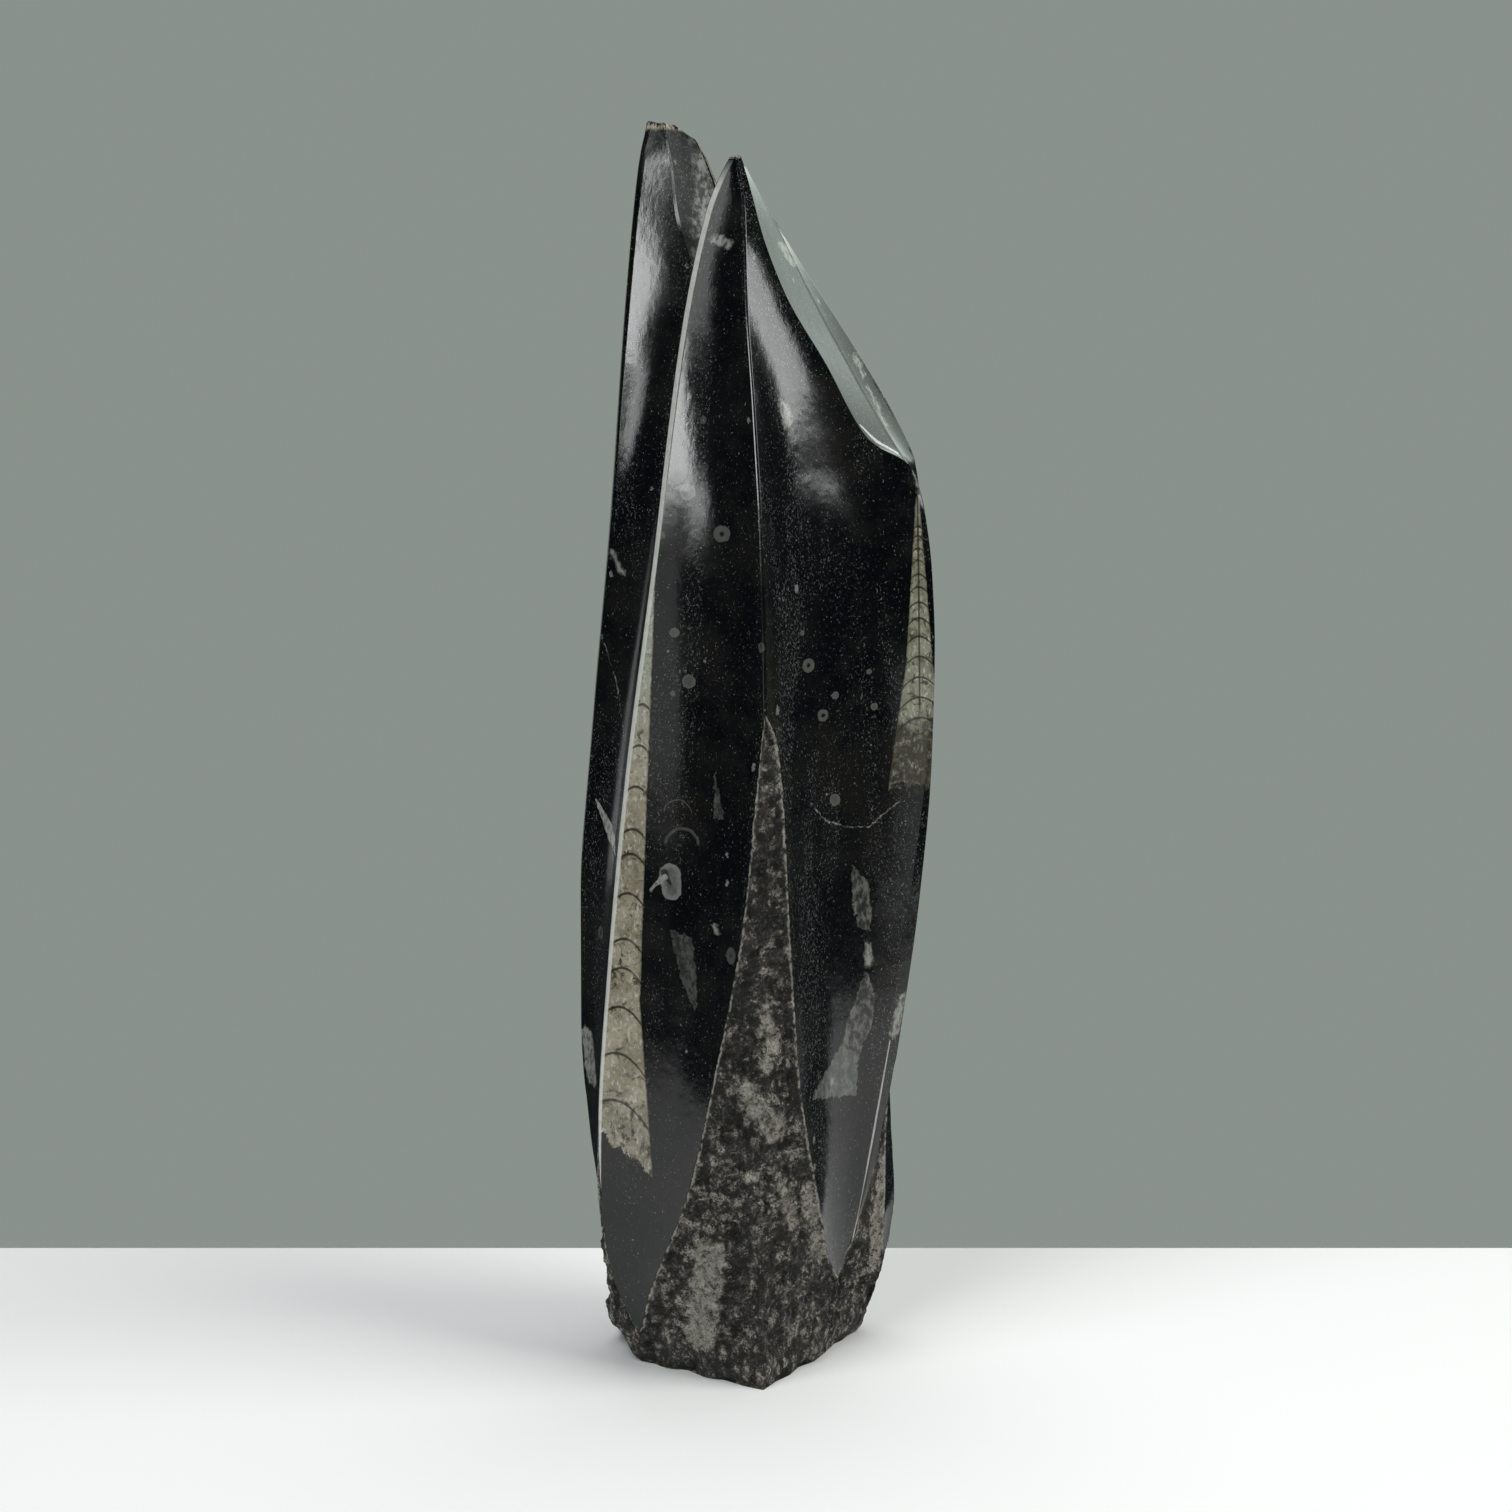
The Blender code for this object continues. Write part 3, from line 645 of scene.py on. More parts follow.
# moves the skin of the rough lands inwards by lumps, ledges and pits; polished parts and the sawn foot stay
def roughenLands(data, material):
    tree = bpy.data.node_groups.new("roughenLands", "GeometryNodeTree")
    tree.interface.new_socket("Stone", in_out="INPUT", socket_type="NodeSocketGeometry")
    tree.interface.new_socket("Stone", in_out="OUTPUT", socket_type="NodeSocketGeometry")
    names = {}
    for name in roughening:
        made = tree.interface.new_socket(name, in_out="INPUT", socket_type="NodeSocketFloat")
        names[name] = made.identifier
    inside = tree.nodes.new("NodeGroupInput")
    given = {name: Wire(tree, inside.outputs[name]) for name in roughening}
    wire = Wire(tree)
    depth = wire.node("GeometryNodeInputNamedAttribute", dict(data_type="FLOAT"), {"Name": "landDepth"})
    place = wire.node("GeometryNodeInputPosition", {}, {}) * (1 / mm)
    seeded = place + given["seed"] * 31.7
    lump = seeded.noise(given["lumpSize"], 2, 0.55).ramp(0.3, 0.7) * given["lumpDepth"]
    pit = seeded.noise(given["pitSize"], 3, 0.55).ramp(0.58, 0.38) * given["pitDepth"]
    ledge = (seeded * (1, 1, 0.6)).cells(given["ledgeSize"])[1].part(0) * given["ledgeDepth"]
    height = place.part(2)
    inwards = (lump + pit + ledge) * depth.ramp(0, 1.8) * height.ramp(3, 18, 0.4, 1)
    flatFoot = wire.node("ShaderNodeCombineXYZ", {}, {"X": 1, "Y": 1, "Z": height.ramp(0.2, 4)})
    normal = wire.node("GeometryNodeInputNormal", {}, {})
    offset = normal * flatFoot * (inwards * -mm)
    notUnder = wire.node("FunctionNodeCompare", dict(data_type="FLOAT", operation="GREATER_THAN"),
                         {0: normal.part(2), 1: -0.99})
    moved = wire.node("GeometryNodeSetPosition", {}, {
        "Geometry": Wire(tree, inside.outputs["Stone"]), "Selection": notUnder, "Offset": offset})
    whole = wire.node("GeometryNodeRealizeInstances", {}, {"Geometry": moved})
    painted = wire.node("GeometryNodeSetMaterial", {}, {"Geometry": whole, "Material": material})
    outside = tree.nodes.new("NodeGroupOutput")
    tree.links.new(painted.socket, outside.inputs["Stone"])
    shaped = addObject("fossilStone", data)
    modifier = shaped.modifiers.new("roughenLands", "NODES")
    modifier.node_group = tree
    for name, identifier in names.items():
        modifier[identifier] = float(roughening[name])
    evaluated = shaped.evaluated_get(bpy.context.evaluated_depsgraph_get())
    plain = bpy.data.meshes.new_from_object(evaluated)
    shaped.modifiers.clear()
    shaped.data = plain
    return shaped


limestone = bpy.data.materials.new("fossilLimestone")
limestone.use_nodes = True
fossilStone = roughenLands(stoneMesh, limestone)
print("lands roughened:", len(fossilStone.data.polygons), "faces")

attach(fossilStone, "root")
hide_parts(stone["node"])

# Marks in the polished stone: places and radii in millimetres, colours as the cut fossil shows them.
marks = dict(
    discs=[((-20.7, -24, 281.5), 2.6), ((-25.1, -27.5, 238.1), 1.5), ((-20.4, -29.9, 223), 2.1),
           ((-25.7, -28.7, 219.2), 0.9), ((25.2, -15.1, 217.6), 1.3), ((36.3, -6.9, 224.7), 0.9),
           ((38, -5.5, 213.4), 1.2), ((25.1, -16.4, 184.4), 1.9), ((14.5, -25.7, 238), 0.8),
           ((-21, 40.5, 262), 2.4), ((-30, 38.5, 150), 2.8), ((30, 33, 236), 2.2)],
    rings=[((-9.4, -30.2, 268.5), 2.7), ((21, -19.2, 211.6), 2), ((16.4, -24, 227.6), 2.2),
           ((31, 32, 190), 3.4), ((-46.5, 22.5, 214), 2.6)],
    # pale irregular patches: from, to, half their width
    patches=[((-13, -14.2, 360.2), (-8.6, -15.8, 358.4), 1.9), ((8.4, -5.4, 358.6), (11.6, -2.8, 353.6), 1.7),
             ((8.4, -21.6, 308.4), (10.2, -20.6, 303.2), 1.9), ((32.4, 12.2, 325.4), (35, 12, 319.6), 1.3),
             ((36, 11.6, 315.6), (42.4, 11.2, 303.4), 0.9), ((-56.2, 3.4, 104.9), (-53.8, 0.2, 90.6), 2.6),
             ((48, 1.2, 117), (45.4, 0.3, 105.6), 1.6), ((36.6, -5.2, 136), (36.2, -5.6, 129.6), 1.3),
             ((-46, 6, 262), (-43.8, 0.6, 256.2), 1.1), ((24.6, -15.7, 94.4), (24.8, -15.5, 92.6), 0.8),
             ((-12.3, -38, 147.4), (-12.2, -38.2, 145.2), 0.9),
             ((-42, 28, 331), (-40, 27, 318), 2.2), ((40, 28, 142), (33, 33, 126), 3)],
    # slender cones: from the tip, to the wide end, half their width there
    cones=[((-52.6, 1.8, 182.4), (-48.2, -5.6, 174), 1.9), ((-43, -13, 166), (-46.8, -7.6, 171.6), 1.8),
           ((-33.4, -28.4, 157.4), (-28.6, -29.6, 161.6), 1.1), ((-4, 46, 268), (-9, 44.6, 242), 2.1)],
    veins=[[(17.1, -26.1, 184.4), (22, -19.4, 178.2), (28.6, -13, 175.5), (36.2, -6.5, 174.4),
            (40.2, -4, 178), (46.8, -0.5, 182.4)],
           [(-52.6, 4, 236), (-47.6, -3.4, 221), (-44.6, -10, 203)],
           [(-44, 26.5, 300), (-36, 32, 282), (-24, 39, 276)],
           [(10, 44, 210), (22, 37, 204), (36, 29, 178)]],
    # pale crystals in the rough skin: from, to, half their width
    crystals=[((-14.5, -35, 42), (-17.5, -29, 14), 5.2), ((-2.6, -42.6, 96), (5.6, -39.8, 84), 4.4),
              ((16.6, -27, 61), (20.8, -16.5, 38), 2.8), ((8.7, -34.6, 63), (11.4, -30.5, 51), 2.4),
              ((4, -45.5, 124), (6, -44.5, 104), 2.6), ((44, 14, 60), (40, 14, 24), 3),
              ((-46, 14, 20), (-44, 30, 40), 4), ((8, 46, 30), (14, 45, 70), 6)],
)
tones = dict(
    black=(0.0016, 0.0023, 0.003, 1), brown=(0.0088, 0.0084, 0.0074, 1), fleck=(0.086, 0.094, 0.094, 1),
    vein=(0.3, 0.31, 0.29, 1), rind=(0.2, 0.205, 0.18, 1), glint=(0.8, 0.8, 0.75, 1),
    shell=(0.12, 0.122, 0.112, 1), shellDark=(0.03, 0.03, 0.028, 1),
    calcite=(0.36, 0.37, 0.33, 1), beige=(0.42, 0.385, 0.285, 1), tan=(0.285, 0.255, 0.18, 1),
    green=(0.37, 0.375, 0.29, 1), stain=(0.06, 0.052, 0.032, 1), septum=(0.022, 0.02, 0.014, 1),
    landDark=(0.0125, 0.012, 0.0108, 1), landBrown=(0.078, 0.071, 0.06, 1), landPale=(0.64, 0.61, 0.52, 1),
    rust=(0.075, 0.036, 0.026, 1), tip=(0.42, 0.37, 0.28, 1), olive=(0.3, 0.305, 0.225, 1),
    moss=(0.215, 0.215, 0.15, 1), sage=(0.32, 0.315, 0.225, 1),
)


# marks reach further along y than across, so that they stay whole on a hollowed face
reach = Vector((1, 0.4, 1))


# the nearest point of the stone's face, in the marks' own scale
def settled(point):
    return fossilStone.closest_point_on_mesh(Vector(point) * mm)[1] / mm * reach


# distance outside the nearest of some round marks, as a share of its radius
def nearestMark(place, group):
    level = place * tuple(reach)
    return reduce(Wire.least, (level.vector("DISTANCE", level, tuple(settled(centre)), output=1) / radius
                               for centre, radius in group))


# distance outside a stroke that widens evenly from its start to its end, in millimetres
def stroke(place, start, end, startWidth, endWidth):
    way = Vector(end) - Vector(start)
    gap = place - tuple(start)
    share = gap.vector("DOT_PRODUCT", gap, tuple(way / way.length_squared), output=1).most(0).least(1)
    off = (gap - share.scale(way)).length()
    return off - (share * (endWidth - startWidth) + startWidth)


# distance outside the nearest of some strokes: from, to, half the width at each end
def nearestStroke(place, strokes):
    level = place * tuple(reach)
    return reduce(Wire.least, (stroke(level, settled(start), settled(end), startWidth, endWidth)
                               for start, end, startWidth, endWidth in strokes))


# strokes as wide at one end as at the other
def even(strokes):
    return [(start, end, width, width) for start, end, width in strokes]


# distance outside a shape cut flat in the front of the stone, from its corners (x, z) in clockwise order
def outline(place, corners):
    gaps = []
    for (x, z), (nextX, nextZ) in zip(corners, corners[1:] + corners[:1]):
        away = Vector((z - nextZ, 0, nextX - x)).normalized()
        gaps.append(place.vector("DOT_PRODUCT", place, tuple(away), output=1) - (away.x * x + away.z * z))
    return reduce(Wire.most, gaps)


# 1 between two girths
def between(girth, low, high):
    return girth.ramp(low - 0.004, low) * girth.ramp(high + 0.004, high)


# a chambered shell: its tan fill, dark lines where the walls are cut, and stains
def chambered(colour, place, girth, grain, shell):
    up = place.part(2)
    way = (Vector(shell["end"]) - Vector(shell["tip"])).normalized()
    gap = place * (1, 0, 1) - (shell["tip"][0], 0, shell["tip"][2])
    down = gap.vector("DOT_PRODUCT", gap, tuple(way), output=1)
    off = gap.vector("CROSS_PRODUCT", gap, tuple(way)).length()
    flareStart, flareSlope = shell["flare"]
    radius = down * shell["slope"] + shell["start"] + (down - flareStart).most(0) * flareSlope
    edge = off - radius + (grain - 0.5) * 0.8
    inside = edge.ramp(0.12, -0.12) * down.ramp(0, 2) * between(girth, *shell["window"])
    cutHeight, cutSlope = shell["cut"]
    ending = up + place.part(0) * cutSlope + (place.noise(3.5, 4, 0.7) - 0.5) * 13
    inside = inside * ending.ramp(cutHeight, cutHeight + 0.8)

    height = up + off * off / radius * shell["dome"]
    wall = reduce(Wire.least, ((height - septum).size() for septum in shell["septa"]))
    wearAndGlint = place.noise(4, 2).ramp(0.3, 0.48)
    lines = wall.ramp(shell["line"], shell["line"] * 0.4) * (wearAndGlint * 0.35 + 0.65)
    body = up.ramp(shell["septa"][-1] + 1, shell["septa"][-1] - 5)

    fill = place.noise(8, 4, 0.6).ramp(0.36, 0.64).mix(tones[shell["pale"]], tones[shell["deep"]])
    fill = down.ramp(*shell["youth"]).mix(tones["green"], fill)
    fill = (place.noise(1.6, 5, 0.74).ramp(0.5, 0.7) * 0.55).over(fill, "stain")
    fill = ((place * (1, 1, 0.5)).noise(1.1, 4, 0.7).ramp(0.52, 0.66) * 0.5).over(fill, "glint")
    dim = place.noise(2.6, 4, 0.72).ramp(0.62, 0.42) * 0.85 + 0.15
    fill = (dim * body * shell["dim"]).over(fill, "shellDark")
    smear = place.noise(3.4, 5, 0.68, 1)
    nearWall = wall.ramp(3.4, 0.2) * 0.055
    fill = (smear + nearWall + body * shell["wear"]).ramp(0.545, 0.69).over(fill, "stain")
    streak = (place * (1, 1, 0.22)).noise(1.3, 3, 0.6)
    fill = ((streak + body * 0.06).ramp(0.62, 0.74) * 0.8).over(fill, "septum")
    fill = (lines * 0.9).over(fill, "septum")
    if shell["tube"]:
        tube = (off - 0.28).ramp(0.2, -0.1) * up.ramp(*shell["tube"]) * (1 - body)
        fill = (tube * 0.85).over(fill, "septum")
    fill = (edge.ramp(-0.55, -0.1) * 0.55).over(fill, "stain")
    return inside.mix(colour, fill)


# black stone: clouds of brown, fine bright flecks in crowded columns, chips and hair veins
def paintGround(place, girth, cloud, grain):
    haze = (cloud * 0.6 + place.noise(7, 3, 0.6) * 0.4).ramp(0.42, 0.6)
    colour = haze.mix(tones["black"], tones["brown"])
    columns = (place * (1, 1, 0.22)).noise(13, 2, 0.5)
    quiet = between(girth, 1.42, 1.93) + between(girth, 2.46, 2.6) * 0.6
    crowd = columns.ramp(0.38, 0.58) * (1 - quiet * 0.85) + between(girth, 2.01, 2.3) * 0.35
    bedded = place * (1, 1, 0.75)
    flecks = (bedded.noise(0.85, 5, 0.76, 0.15) + crowd * 0.04).ramp(0.585, 0.7) * (crowd * 0.7 + 0.28)
    colour = flecks.over(colour, "fleck")
    sparks = (bedded.noise(0.5, 1, 0.5) + crowd * 0.04).ramp(0.69, 0.8)
    colour = (sparks * 0.7).over(colour, "vein")
    chip, chance = (place * (1, 1, 0.8) + place.sway(1.6, 2, 0.6) * 2.2).cells(6.5)
    chips = (chip * 6.5 - chance.part(0) * 1.1).ramp(0.15, -0.15) * chance.part(1).ramp(0.68, 0.74)
    colour = (chips * (grain * 0.8 + 0.2)).over(colour, "vein")
    return colour


# shells sliced flat: corners as (x, z) in clockwise order, the girths between which they show, and tones
slices = [
    dict(corners=[(-27.1, 145.7), (-19.8, 143.7), (-18.3, 123.5), (-18.9, 119.9), (-21.5, 124.1),
                  (-25.3, 137)],
         window=(1, 2), rim="shell", fill="shellDark", cover=0.9),
    dict(corners=[(-12.9, 197.3), (-9.7, 181.2), (-13.3, 180.8)],
         window=(1, 2), rim="shell", fill="shellDark", cover=0.9),
    dict(corners=[(35.8, 127.6), (38.8, 120), (38.6, 111.8), (32.9, 99), (26.8, 103.5), (32.2, 120.8)],
         window=(2, 3), rim="rind", fill="shellDark", cover=0.9),
    dict(corners=[(27.2, 104.8), (33.2, 101), (32.7, 86.7), (17.3, 90.1)],
         window=(2, 3), rim="rind", fill="fleck", cover=0.95),
    dict(corners=[(30.6, 163.6), (36, 157), (37.7, 147.1), (37.1, 140.5), (32.7, 142.7), (30.7, 153.8)],
         window=(2, 3), rim="rind", fill="shellDark", cover=0.9),
]


# small shells, cones, crystals and veins
def paintShells(place, girth, grain, colour):
    ragged = place.sway(2.2, 3, 0.6)
    warped = place + ragged * 1.3
    torn = place + place.sway(4, 5, 0.7) * 6.5

    distance, chance = (warped * (1, 1, 0.85) + (7, 3, 11)).cells(19)
    share = distance * 19 / (chance.part(0) * 1.9 + 0.5)
    scattered = share.ramp(1.06, 0.9) * chance.part(1).ramp(0.5, 0.54) * (0.3 + share.ramp(0.2, 0.6) * 0.7)
    colour = (scattered * (grain * 0.9 + 0.1)).over(colour, "shell")

    discs = nearestMark(warped, marks["discs"])
    disc = discs.ramp(1.04, 0.92) * (discs.ramp(0.55, 0.95) * 0.3 + grain * 0.8 + 0.35)
    colour = disc.over(colour, "shell")
    rings = nearestMark(warped, marks["rings"])
    ring = rings.ramp(1.03, 0.93) * (1 - rings.ramp(0.42, 0.24) * 0.92) * (grain * 0.9 + 0.35)
    colour = ring.over(colour, "shell")

    mottle = (place * (1, 1, 0.6)).noise(2, 5, 0.72).ramp(0.42, 0.64)
    for shape in slices:
        edge = outline(place + ragged * 3.4 + (0, 0, 0.4), shape["corners"])
        fill = (edge.ramp(-0.9, -0.2) * 0.3 + mottle * 0.85).least(1)
        fill = fill.mix(tones[shape["fill"]], tones[shape["rim"]])
        colour = (edge.ramp(0.12, -0.5) * between(girth, *shape["window"]) * shape["cover"]).mix(colour, fill)

    cones = nearestStroke(warped, [(tip, end, 0.3, width) for tip, end, width in marks["cones"]])
    colour = (cones.ramp(0.1, -0.15) * (grain.ramp(0.36, 0.56) * 0.7 + 0.3)).over(colour, "calcite")
    patches = nearestStroke(torn, even(marks["patches"]))
    colour = (patches.ramp(0.5, -0.9) * (grain.ramp(0.36, 0.56) * 0.75 + 0.25) * 0.8).over(colour, "calcite")

    # a coiled shell with two arched ones above it
    coil = stroke(warped, (-26.9, -30, 162.4), (-26.3, -30, 157.6), 3.5, 3.2)
    eye = stroke(warped, (-28.8, -29.5, 163), (-26.8, -30, 159.4), 1.3, 0.5)
    whorl = coil.ramp(0.15, -0.1) * (1 - eye.ramp(0.2, -0.3) * 0.85)
    colour = (whorl * (coil.ramp(-2.2, -0.4) * 0.3 + grain * 0.6 + 0.08)).over(colour, "vein")
    for centre, radius, width in (((-24.3, -30.3, 181.6), 4.6, 0.28), ((-22.8, -31.2, 171.6), 5.6, 0.62)):
        arch = (warped.vector("DISTANCE", warped, centre, output=1) - radius).size()
        arch = arch.ramp(width, width * 0.5) * place.part(2).ramp(centre[2], centre[2] + 1.5)
        colour = (arch * (grain * 0.9 + 0.1)).over(colour, "shell")

    hairs = [(start, end, 0.2) for line in marks["veins"] for start, end in zip(line, line[1:])]
    veins = nearestStroke(place + ragged * 2.4, even(hairs))
    return (veins.ramp(0.12, -0.1) * (grain.ramp(0.44, 0.6) * 0.8 + 0.08)).over(colour, "vein")


# the long chambered shells, two on the front and two on the rear: the axis from tip to end, how fast the
# shell widens and where it flares, the height where it is cut off, the heights of its walls, its tones
longShells = [
    dict(tip=(-31.6, -25.4, 262), end=(-46, -27, 90), slope=0.0445, start=0.55,
         flare=(140, 0.108), cut=(38.4, 0.8), window=(1, 1.8), dome=0.75, line=0.62, tube=None,
         septa=[215.8, 203, 190.1, 176.7, 168.9, 156.4, 141.9, 132.6, 120.1, 105.2, 90],
         youth=(40, 66), pale="beige", deep="tan", wear=0.05, dim=0.25),
    dict(tip=(51.9, 1.9, 281), end=(53.4, 1.6, 187), slope=0.072, start=0.5,
         flare=(54, 0.085), cut=(186, 0), window=(2.02, 3.02), dome=0.6, line=0.46, tube=(209, 213),
         septa=[271, 267.9, 263.9, 260, 255.6, 251.5, 246.6, 241.5, 235.6, 229.1, 222.4, 215.9, 209.2],
         youth=(0, 8), pale="olive", deep="moss", wear=0.13, dim=1),
    dict(tip=(-31, 40, 120), end=(-14, 44, 300), slope=0.034, start=0.6,
         flare=(150, 0.05), cut=(40, 0), window=(5, 6), dome=-0.6, line=0.42, tube=None,
         septa=[150 + 8.4 * step + 0.16 * step ** 2 for step in range(13)][::-1],
         youth=(10, 40), pale="beige", deep="tan", wear=0, dim=0),
    dict(tip=(26, 36, 296), end=(46, 26, 92), slope=0.031, start=0.5,
         flare=(140, 0.07), cut=(124, 0.35), window=(4.02, 5), dome=0.6, line=0.38, tube=(160, 166),
         septa=[270 - 6 * step - 0.22 * step ** 2 for step in range(13)],
         youth=(0, 20), pale="sage", deep="tan", wear=0.1, dim=0.5),
]


def paintLongShells(place, girth, grain, colour):
    for shell in longShells:
        colour = chambered(colour, place, girth, grain, shell)
    return colour


# rough skin: dark and brown with pale crystals, and a bruised line where the polish begins
def paintLands(place, girth, edge):
    weather = place.noise(3.8, 8, 0.78, 0.3)
    blots = place.noise(1.2, 4, 0.72) - 0.5
    grit = place.noise(0.7, 3, 0.68)
    zones = place.noise(17, 2, 0.5) - 0.5
    known = nearestStroke(place + place.sway(5, 4, 0.65) * 9, even(marks["crystals"]))
    chip, random = (place * (1, 1, 0.75) + place.sway(1.6, 3, 0.65) * 2.6).cells(2.6)
    chance = random.part(0)
    high = place.part(2).ramp(70, 150)
    tone = weather + blots * 0.36 + zones * 0.22 + known.ramp(1.4, -1.6) * 0.155
    tone = tone + (chance - 0.5) * 0.13 - high * 0.03
    skin = tone.ramp(0.4, 0.5).mix(tones["landDark"], tones["landBrown"])
    shade = place.noise(2.4, 4, 0.7, 0.6).ramp(0.34, 0.58) * 0.5 + 0.5
    skin = (tone.ramp(0.51, 0.6) * shade * (grit.ramp(0.36, 0.56) * 0.5 + 0.5)).over(skin, "landPale")
    skin = (grit.ramp(0.5, 0.37) * 0.85).over(skin, "landDark")
    skin = (grit.ramp(0.6, 0.7) * 0.55).over(skin, "landPale")
    # painted shade: each chip darkens towards its edges, in the crevices between the chips
    skin = (chip.ramp(0.4, 0.72) * (0.75 - known.ramp(0.4, -1.6) * 0.25)).over(skin, "landDark")
    lit = known.ramp(0.9, -1.4) * place.noise(1.9, 6, 0.76, 0.5).ramp(0.43, 0.6) * 0.62
    skin = lit.over(skin, "landPale")
    rust = place.noise(6, 3, 0.6).ramp(0.6, 0.68) * place.part(0).ramp(22, 32)
    skin = (rust * 0.75).over(skin, "rust")
    bruise = edge.ramp(0.75, 0.3) * place.noise(2.4, 2).ramp(0.36, 0.55)
    skin = (bruise * 0.8).over(skin, "landPale")
    broken = (girth.ramp(7.8, 7.95) * place.part(2).ramp(350, 352)).most(place.part(2).ramp(396, 397.6))
    chipped = (weather + blots * 0.5).ramp(0.36, 0.54).mix(tones["stain"], tones["tip"])
    return broken.mix(skin, chipped), weather * 1.2 + grit * 0.7 + chance * 0.35 - chip * 0.9


def paintStone(material):
    tree = material.node_tree
    wire = Wire(tree)
    place = wire.node("ShaderNodeTexCoord", {}, {}, 3) * (1 / mm)
    landDepth = wire.node("ShaderNodeAttribute", dict(attribute_name="landDepth"), {}, 2)
    girth = wire.node("ShaderNodeAttribute", dict(attribute_name="girth"), {}, 2)
    cloud = place.noise(34, 3, 0.55)
    grain = (place * (1, 1, 0.6)).noise(1.5, 4, 0.65, 0.4)

    colour = paintGround(place, girth, cloud, grain)
    colour = paintShells(place, girth, grain, colour)
    colour = paintLongShells(place, girth, grain, colour)
    height = place.part(2)
    # painted highlight: a pale glint stroke along the low end of the shoulder facet, where the polish catches
    # the light
    wearAndGlint = nearestStroke(place, [((33, -3, 303), (38.6, 0.4, 298), 0.15, 0.5),
                                 ((38.6, 0.4, 298), (45.7, 6, 294.3), 0.5, 0.2)])
    colour = (wearAndGlint.ramp(0.25, -0.15) * (grain * 0.6 + 0.4)).over(colour, "glint")
    # painted highlight: a pale band along the rounded front-left ridge, and a thin painted highlight line
    # along the lower right bevel
    ridge = (girth - 1).size().ramp(0.01, 0.006) * height.ramp(388, 374) * height.ramp(52, 66)
    bevel = nearestStroke(place, [((44, -1.2, 103.3), (38.8, -2.8, 74.1), 0.15, 0.3),
                                  ((38.8, -2.8, 74.1), (32.2, -5.4, 38.3), 0.3, 0.15)])
    ridge = ridge.most(bevel.ramp(0.2, -0.1) * 0.7)
    colour = (ridge * (grain * 0.5 + 0.5)).over(colour, "glint")
    inner = between(girth, 7.4, 7.6) * height.ramp(336, 348)
    chipped = height.ramp(396.2, 397.8) * grain.ramp(0.4, 0.58)
    colour = chipped.over(colour, "tip")
    cloudy = (place.part(0) + (place.noise(5, 5, 0.7) - 0.5) * 20).ramp(-22.5, -15)
    colour = (inner * cloudy * (grain.ramp(0.4, 0.58) * 0.8 + 0.2)).over(colour, "vein")
    edge = landDepth + (place.noise(1.6, 3, 0.6) - 0.5) * 1.5
    land = edge.ramp(-0.1, 0.15)
    skin, crust = paintLands(place, girth, edge)
    colour = land.mix(colour, skin)

    shader = tree.nodes["Principled BSDF"]
    shader.inputs["IOR"].default_value = 1.5
    tree.links.new(colour.socket, shader.inputs["Base Color"])
    polish = 0.085 + cloud.ramp(0.42, 0.66) * 0.07 + grain * 0.06
    gloss = (polish + inner * 0.4) * (1 - land) + land * 0.68
    tree.links.new(gloss.socket, shader.inputs["Roughness"])
    relief = crust * land + (grain * 0.018 + place.noise(9, 2) * 0.06) * (1 - land)
    bump = wire.node("ShaderNodeBump", {}, {"Strength": 0.95, "Distance": 0.0022, "Height": relief})
    tree.links.new(bump.socket, shader.inputs["Normal"])


paintStone(limestone)
print("stone painted")

stage = dict(
    floor=dict(left=-0.62, right=0.62, front=-0.4, back=0.112, depth=0.03, colour=(0.9, 0.91, 0.9, 1)),
    wall=(0.255, 0.285, 0.262, 1),
    gloom=(0.02, 0.026, 0.029, 1),
    camera=dict(place=(0, -0.79632, 0.27356), tilt=84.5, lens=58.83),
    # angles round, angles up, brightness and tint, then for some the point it is seen from and how far it is
    panels=dict(
        windowFront=((-43, -6), (7.5, 31), 11.5, (0.97, 1, 0.99), (-0.03, -0.01, 0.32), 0.28),
        windowLow=((-50, -39), (0.5, 7.5), 5.2, (0.97, 1, 0.99), (-0.03, -0.01, 0.32), 0.28),
        windowHigh=((-64, -44), (24, 38), 2.3, (0.97, 1, 0.99)),
        wallFront=((-36, -4), (-8, 12), 0.7, (0.98, 1, 0.98)),
        windowRight=((77, 101), (7, 40), 6, (0.96, 1, 0.98), (0.01, -0.03, 0.31), 0.3),
        wallRight=((120, 168), (14, 34), 1.7, (0.86, 1, 0.9)),
        wallHigh=((100, 120), (21, 40), 1.8, (0.88, 1, 0.92)),
        wallBevel=((33, 54), (-20, -6), 0.6, (0.93, 1, 0.98)),
        wallLeft=((-165, -130), (-8, 14), 0.5, (0.95, 1, 1)),
    ),
    # angle round from the front, angle up, distance, size, power, tint
    lamps=dict(
        lampRight=(70, 48, 1.5, 0.9, 14.5, (1, 0.99, 0.97)),
        lampFront=(-38, 50, 1.6, 0.9, 14, (0.97, 0.99, 1)),
        lampOver=(170, 72, 1.6, 1.2, 10.5, (1, 1, 1)),
    ),
    lampAim=(0, 0, 0.15),
)


def buildFloor():
    size = stage["floor"]
    corners = [(size["left"], size["front"]), (size["right"], size["front"]), (size["right"], size["back"]),
               (size["left"], size["back"])]
    places = [(x, y, 0) for x, y in corners] + [(x, y, -size["depth"]) for x, y in corners]
    faces = [(0, 1, 2, 3), (7, 6, 5, 4)] + [(i, i + 4, (i + 1) % 4 + 4, (i + 1) % 4) for i in range(4)]
    data = bpy.data.meshes.new("floor")
    data.from_pydata(places, [], faces)
    floor = addObject("floor", data)
    paint = bpy.data.materials.new("floorPaint")
    paint.use_nodes = True
    paint.node_tree.nodes["Principled BSDF"].inputs["Base Color"].default_value = size["colour"]
    paint.node_tree.nodes["Principled BSDF"].inputs["Roughness"].default_value = 0.7
    data.materials.append(paint)


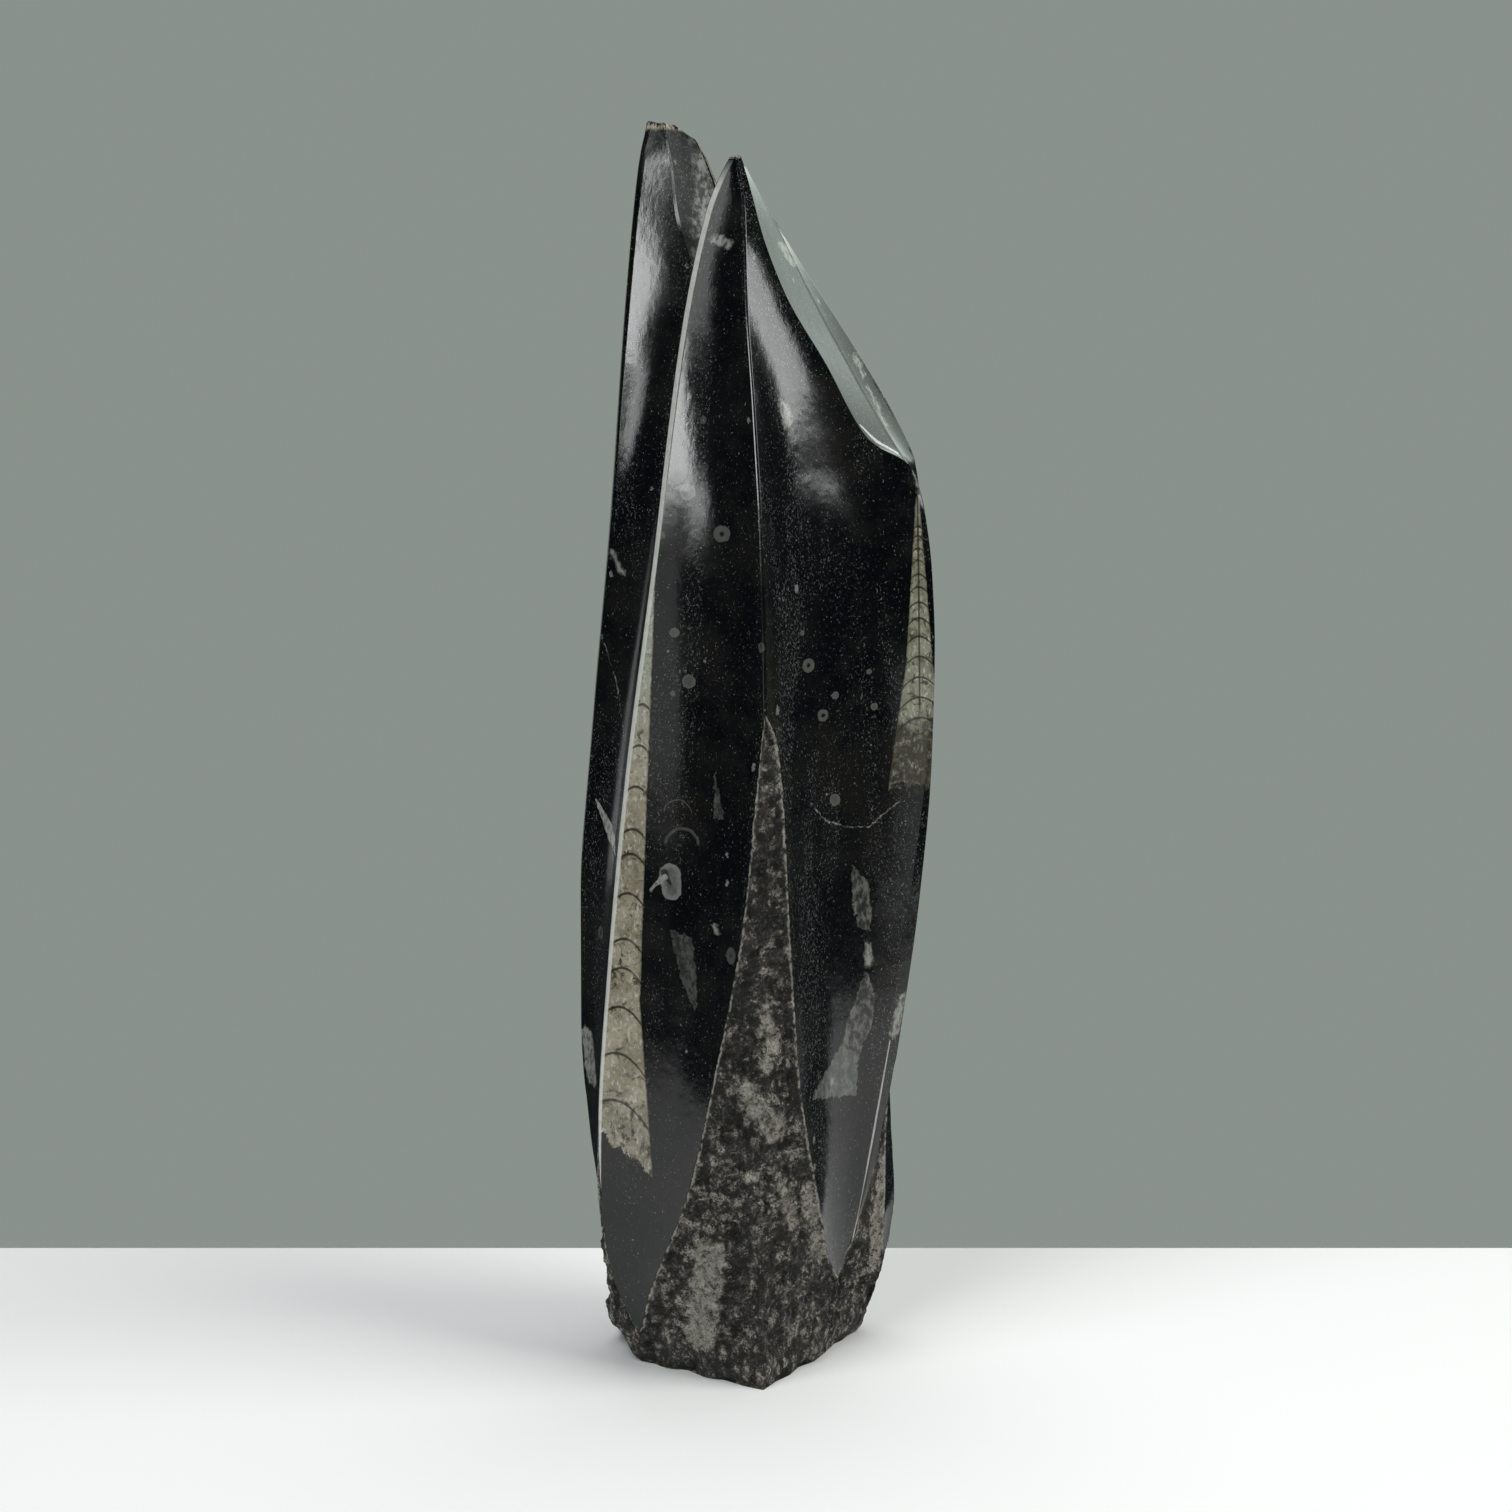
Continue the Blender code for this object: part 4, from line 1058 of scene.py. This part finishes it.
# what the eye sees behind the stone is a plain wall; what the polish mirrors is a dim room with lit panels
def buildWorld():
    world = bpy.data.worlds.new("studio")
    world.use_nodes = True
    bpy.context.scene.world = world
    tree = world.node_tree
    wire = Wire(tree)
    back = tree.nodes["Background"]
    back.inputs["Color"].default_value = stage["wall"]
    dim = wire.node("ShaderNodeBackground", {}, {"Color": stage["gloom"], "Strength": 1})
    seen = wire.node("ShaderNodeLightPath", {}, {})
    both = wire.node("ShaderNodeMixShader", {}, {0: seen, 1: dim, 2: Wire(tree, back.outputs[0])})
    tree.links.new(both.socket, tree.nodes["World Output"].inputs["Surface"])


# an upright panel that spans angles round from the front and up from the horizon, as seen from a point of
# the stone; the polish mirrors it at the given brightness, and nothing else sees it
def addPanel(name, azimuths, elevations, brightness, colour, seenFrom=(0, 0, 0.25), distance=2.4):
    middle, half = math.radians(sum(azimuths) / 2), math.radians((azimuths[1] - azimuths[0]) / 2)
    low, high = (distance * math.tan(math.radians(angle)) for angle in elevations)
    light = bpy.data.lights.new(name, "AREA")
    light.shape = "RECTANGLE"
    light.size, light.size_y = 2 * distance * math.tan(half), high - low
    light.energy = brightness * math.pi * light.size * light.size_y
    light.color = colour
    panel = addObject(name, light)
    away = Vector((math.sin(middle), -math.cos(middle), 0))
    panel.location = Vector(seenFrom) + away * distance + Vector((0, 0, (low + high) / 2))
    panel.rotation_euler = away.to_track_quat("Z", "Y").to_euler()
    panel.visible_camera = False
    panel.visible_diffuse = False


# a soft lamp that lights the rough skin and the floor, and that the polish doesn't mirror
def addLamp(name, azimuth, elevation, distance, size, power, colour):
    light = bpy.data.lights.new(name, "AREA")
    light.shape = "DISK"
    light.size, light.energy, light.color = size, power, colour
    lamp = addObject(name, light)
    a, e = math.radians(azimuth), math.radians(elevation)
    away = Vector((math.sin(a) * math.cos(e), -math.cos(a) * math.cos(e), math.sin(e)))
    lamp.location = Vector(stage["lampAim"]) + away * distance
    lamp.rotation_euler = away.to_track_quat("Z", "Y").to_euler()
    lamp.visible_camera = False
    lamp.visible_glossy = False


def buildCamera():
    data = bpy.data.cameras.new("camera")
    data.lens = stage["camera"]["lens"]
    camera = addObject("camera", data)
    camera.location = stage["camera"]["place"]
    camera.rotation_euler = (math.radians(stage["camera"]["tilt"]), 0, 0)
    bpy.context.scene.camera = camera


buildFloor()
buildWorld()
for name, panel in stage["panels"].items():
    addPanel(name, *panel)
for name, lamp in stage["lamps"].items():
    addLamp(name, *lamp)
buildCamera()
bpy.context.scene.view_settings.view_transform = "Standard"
print("stage set")
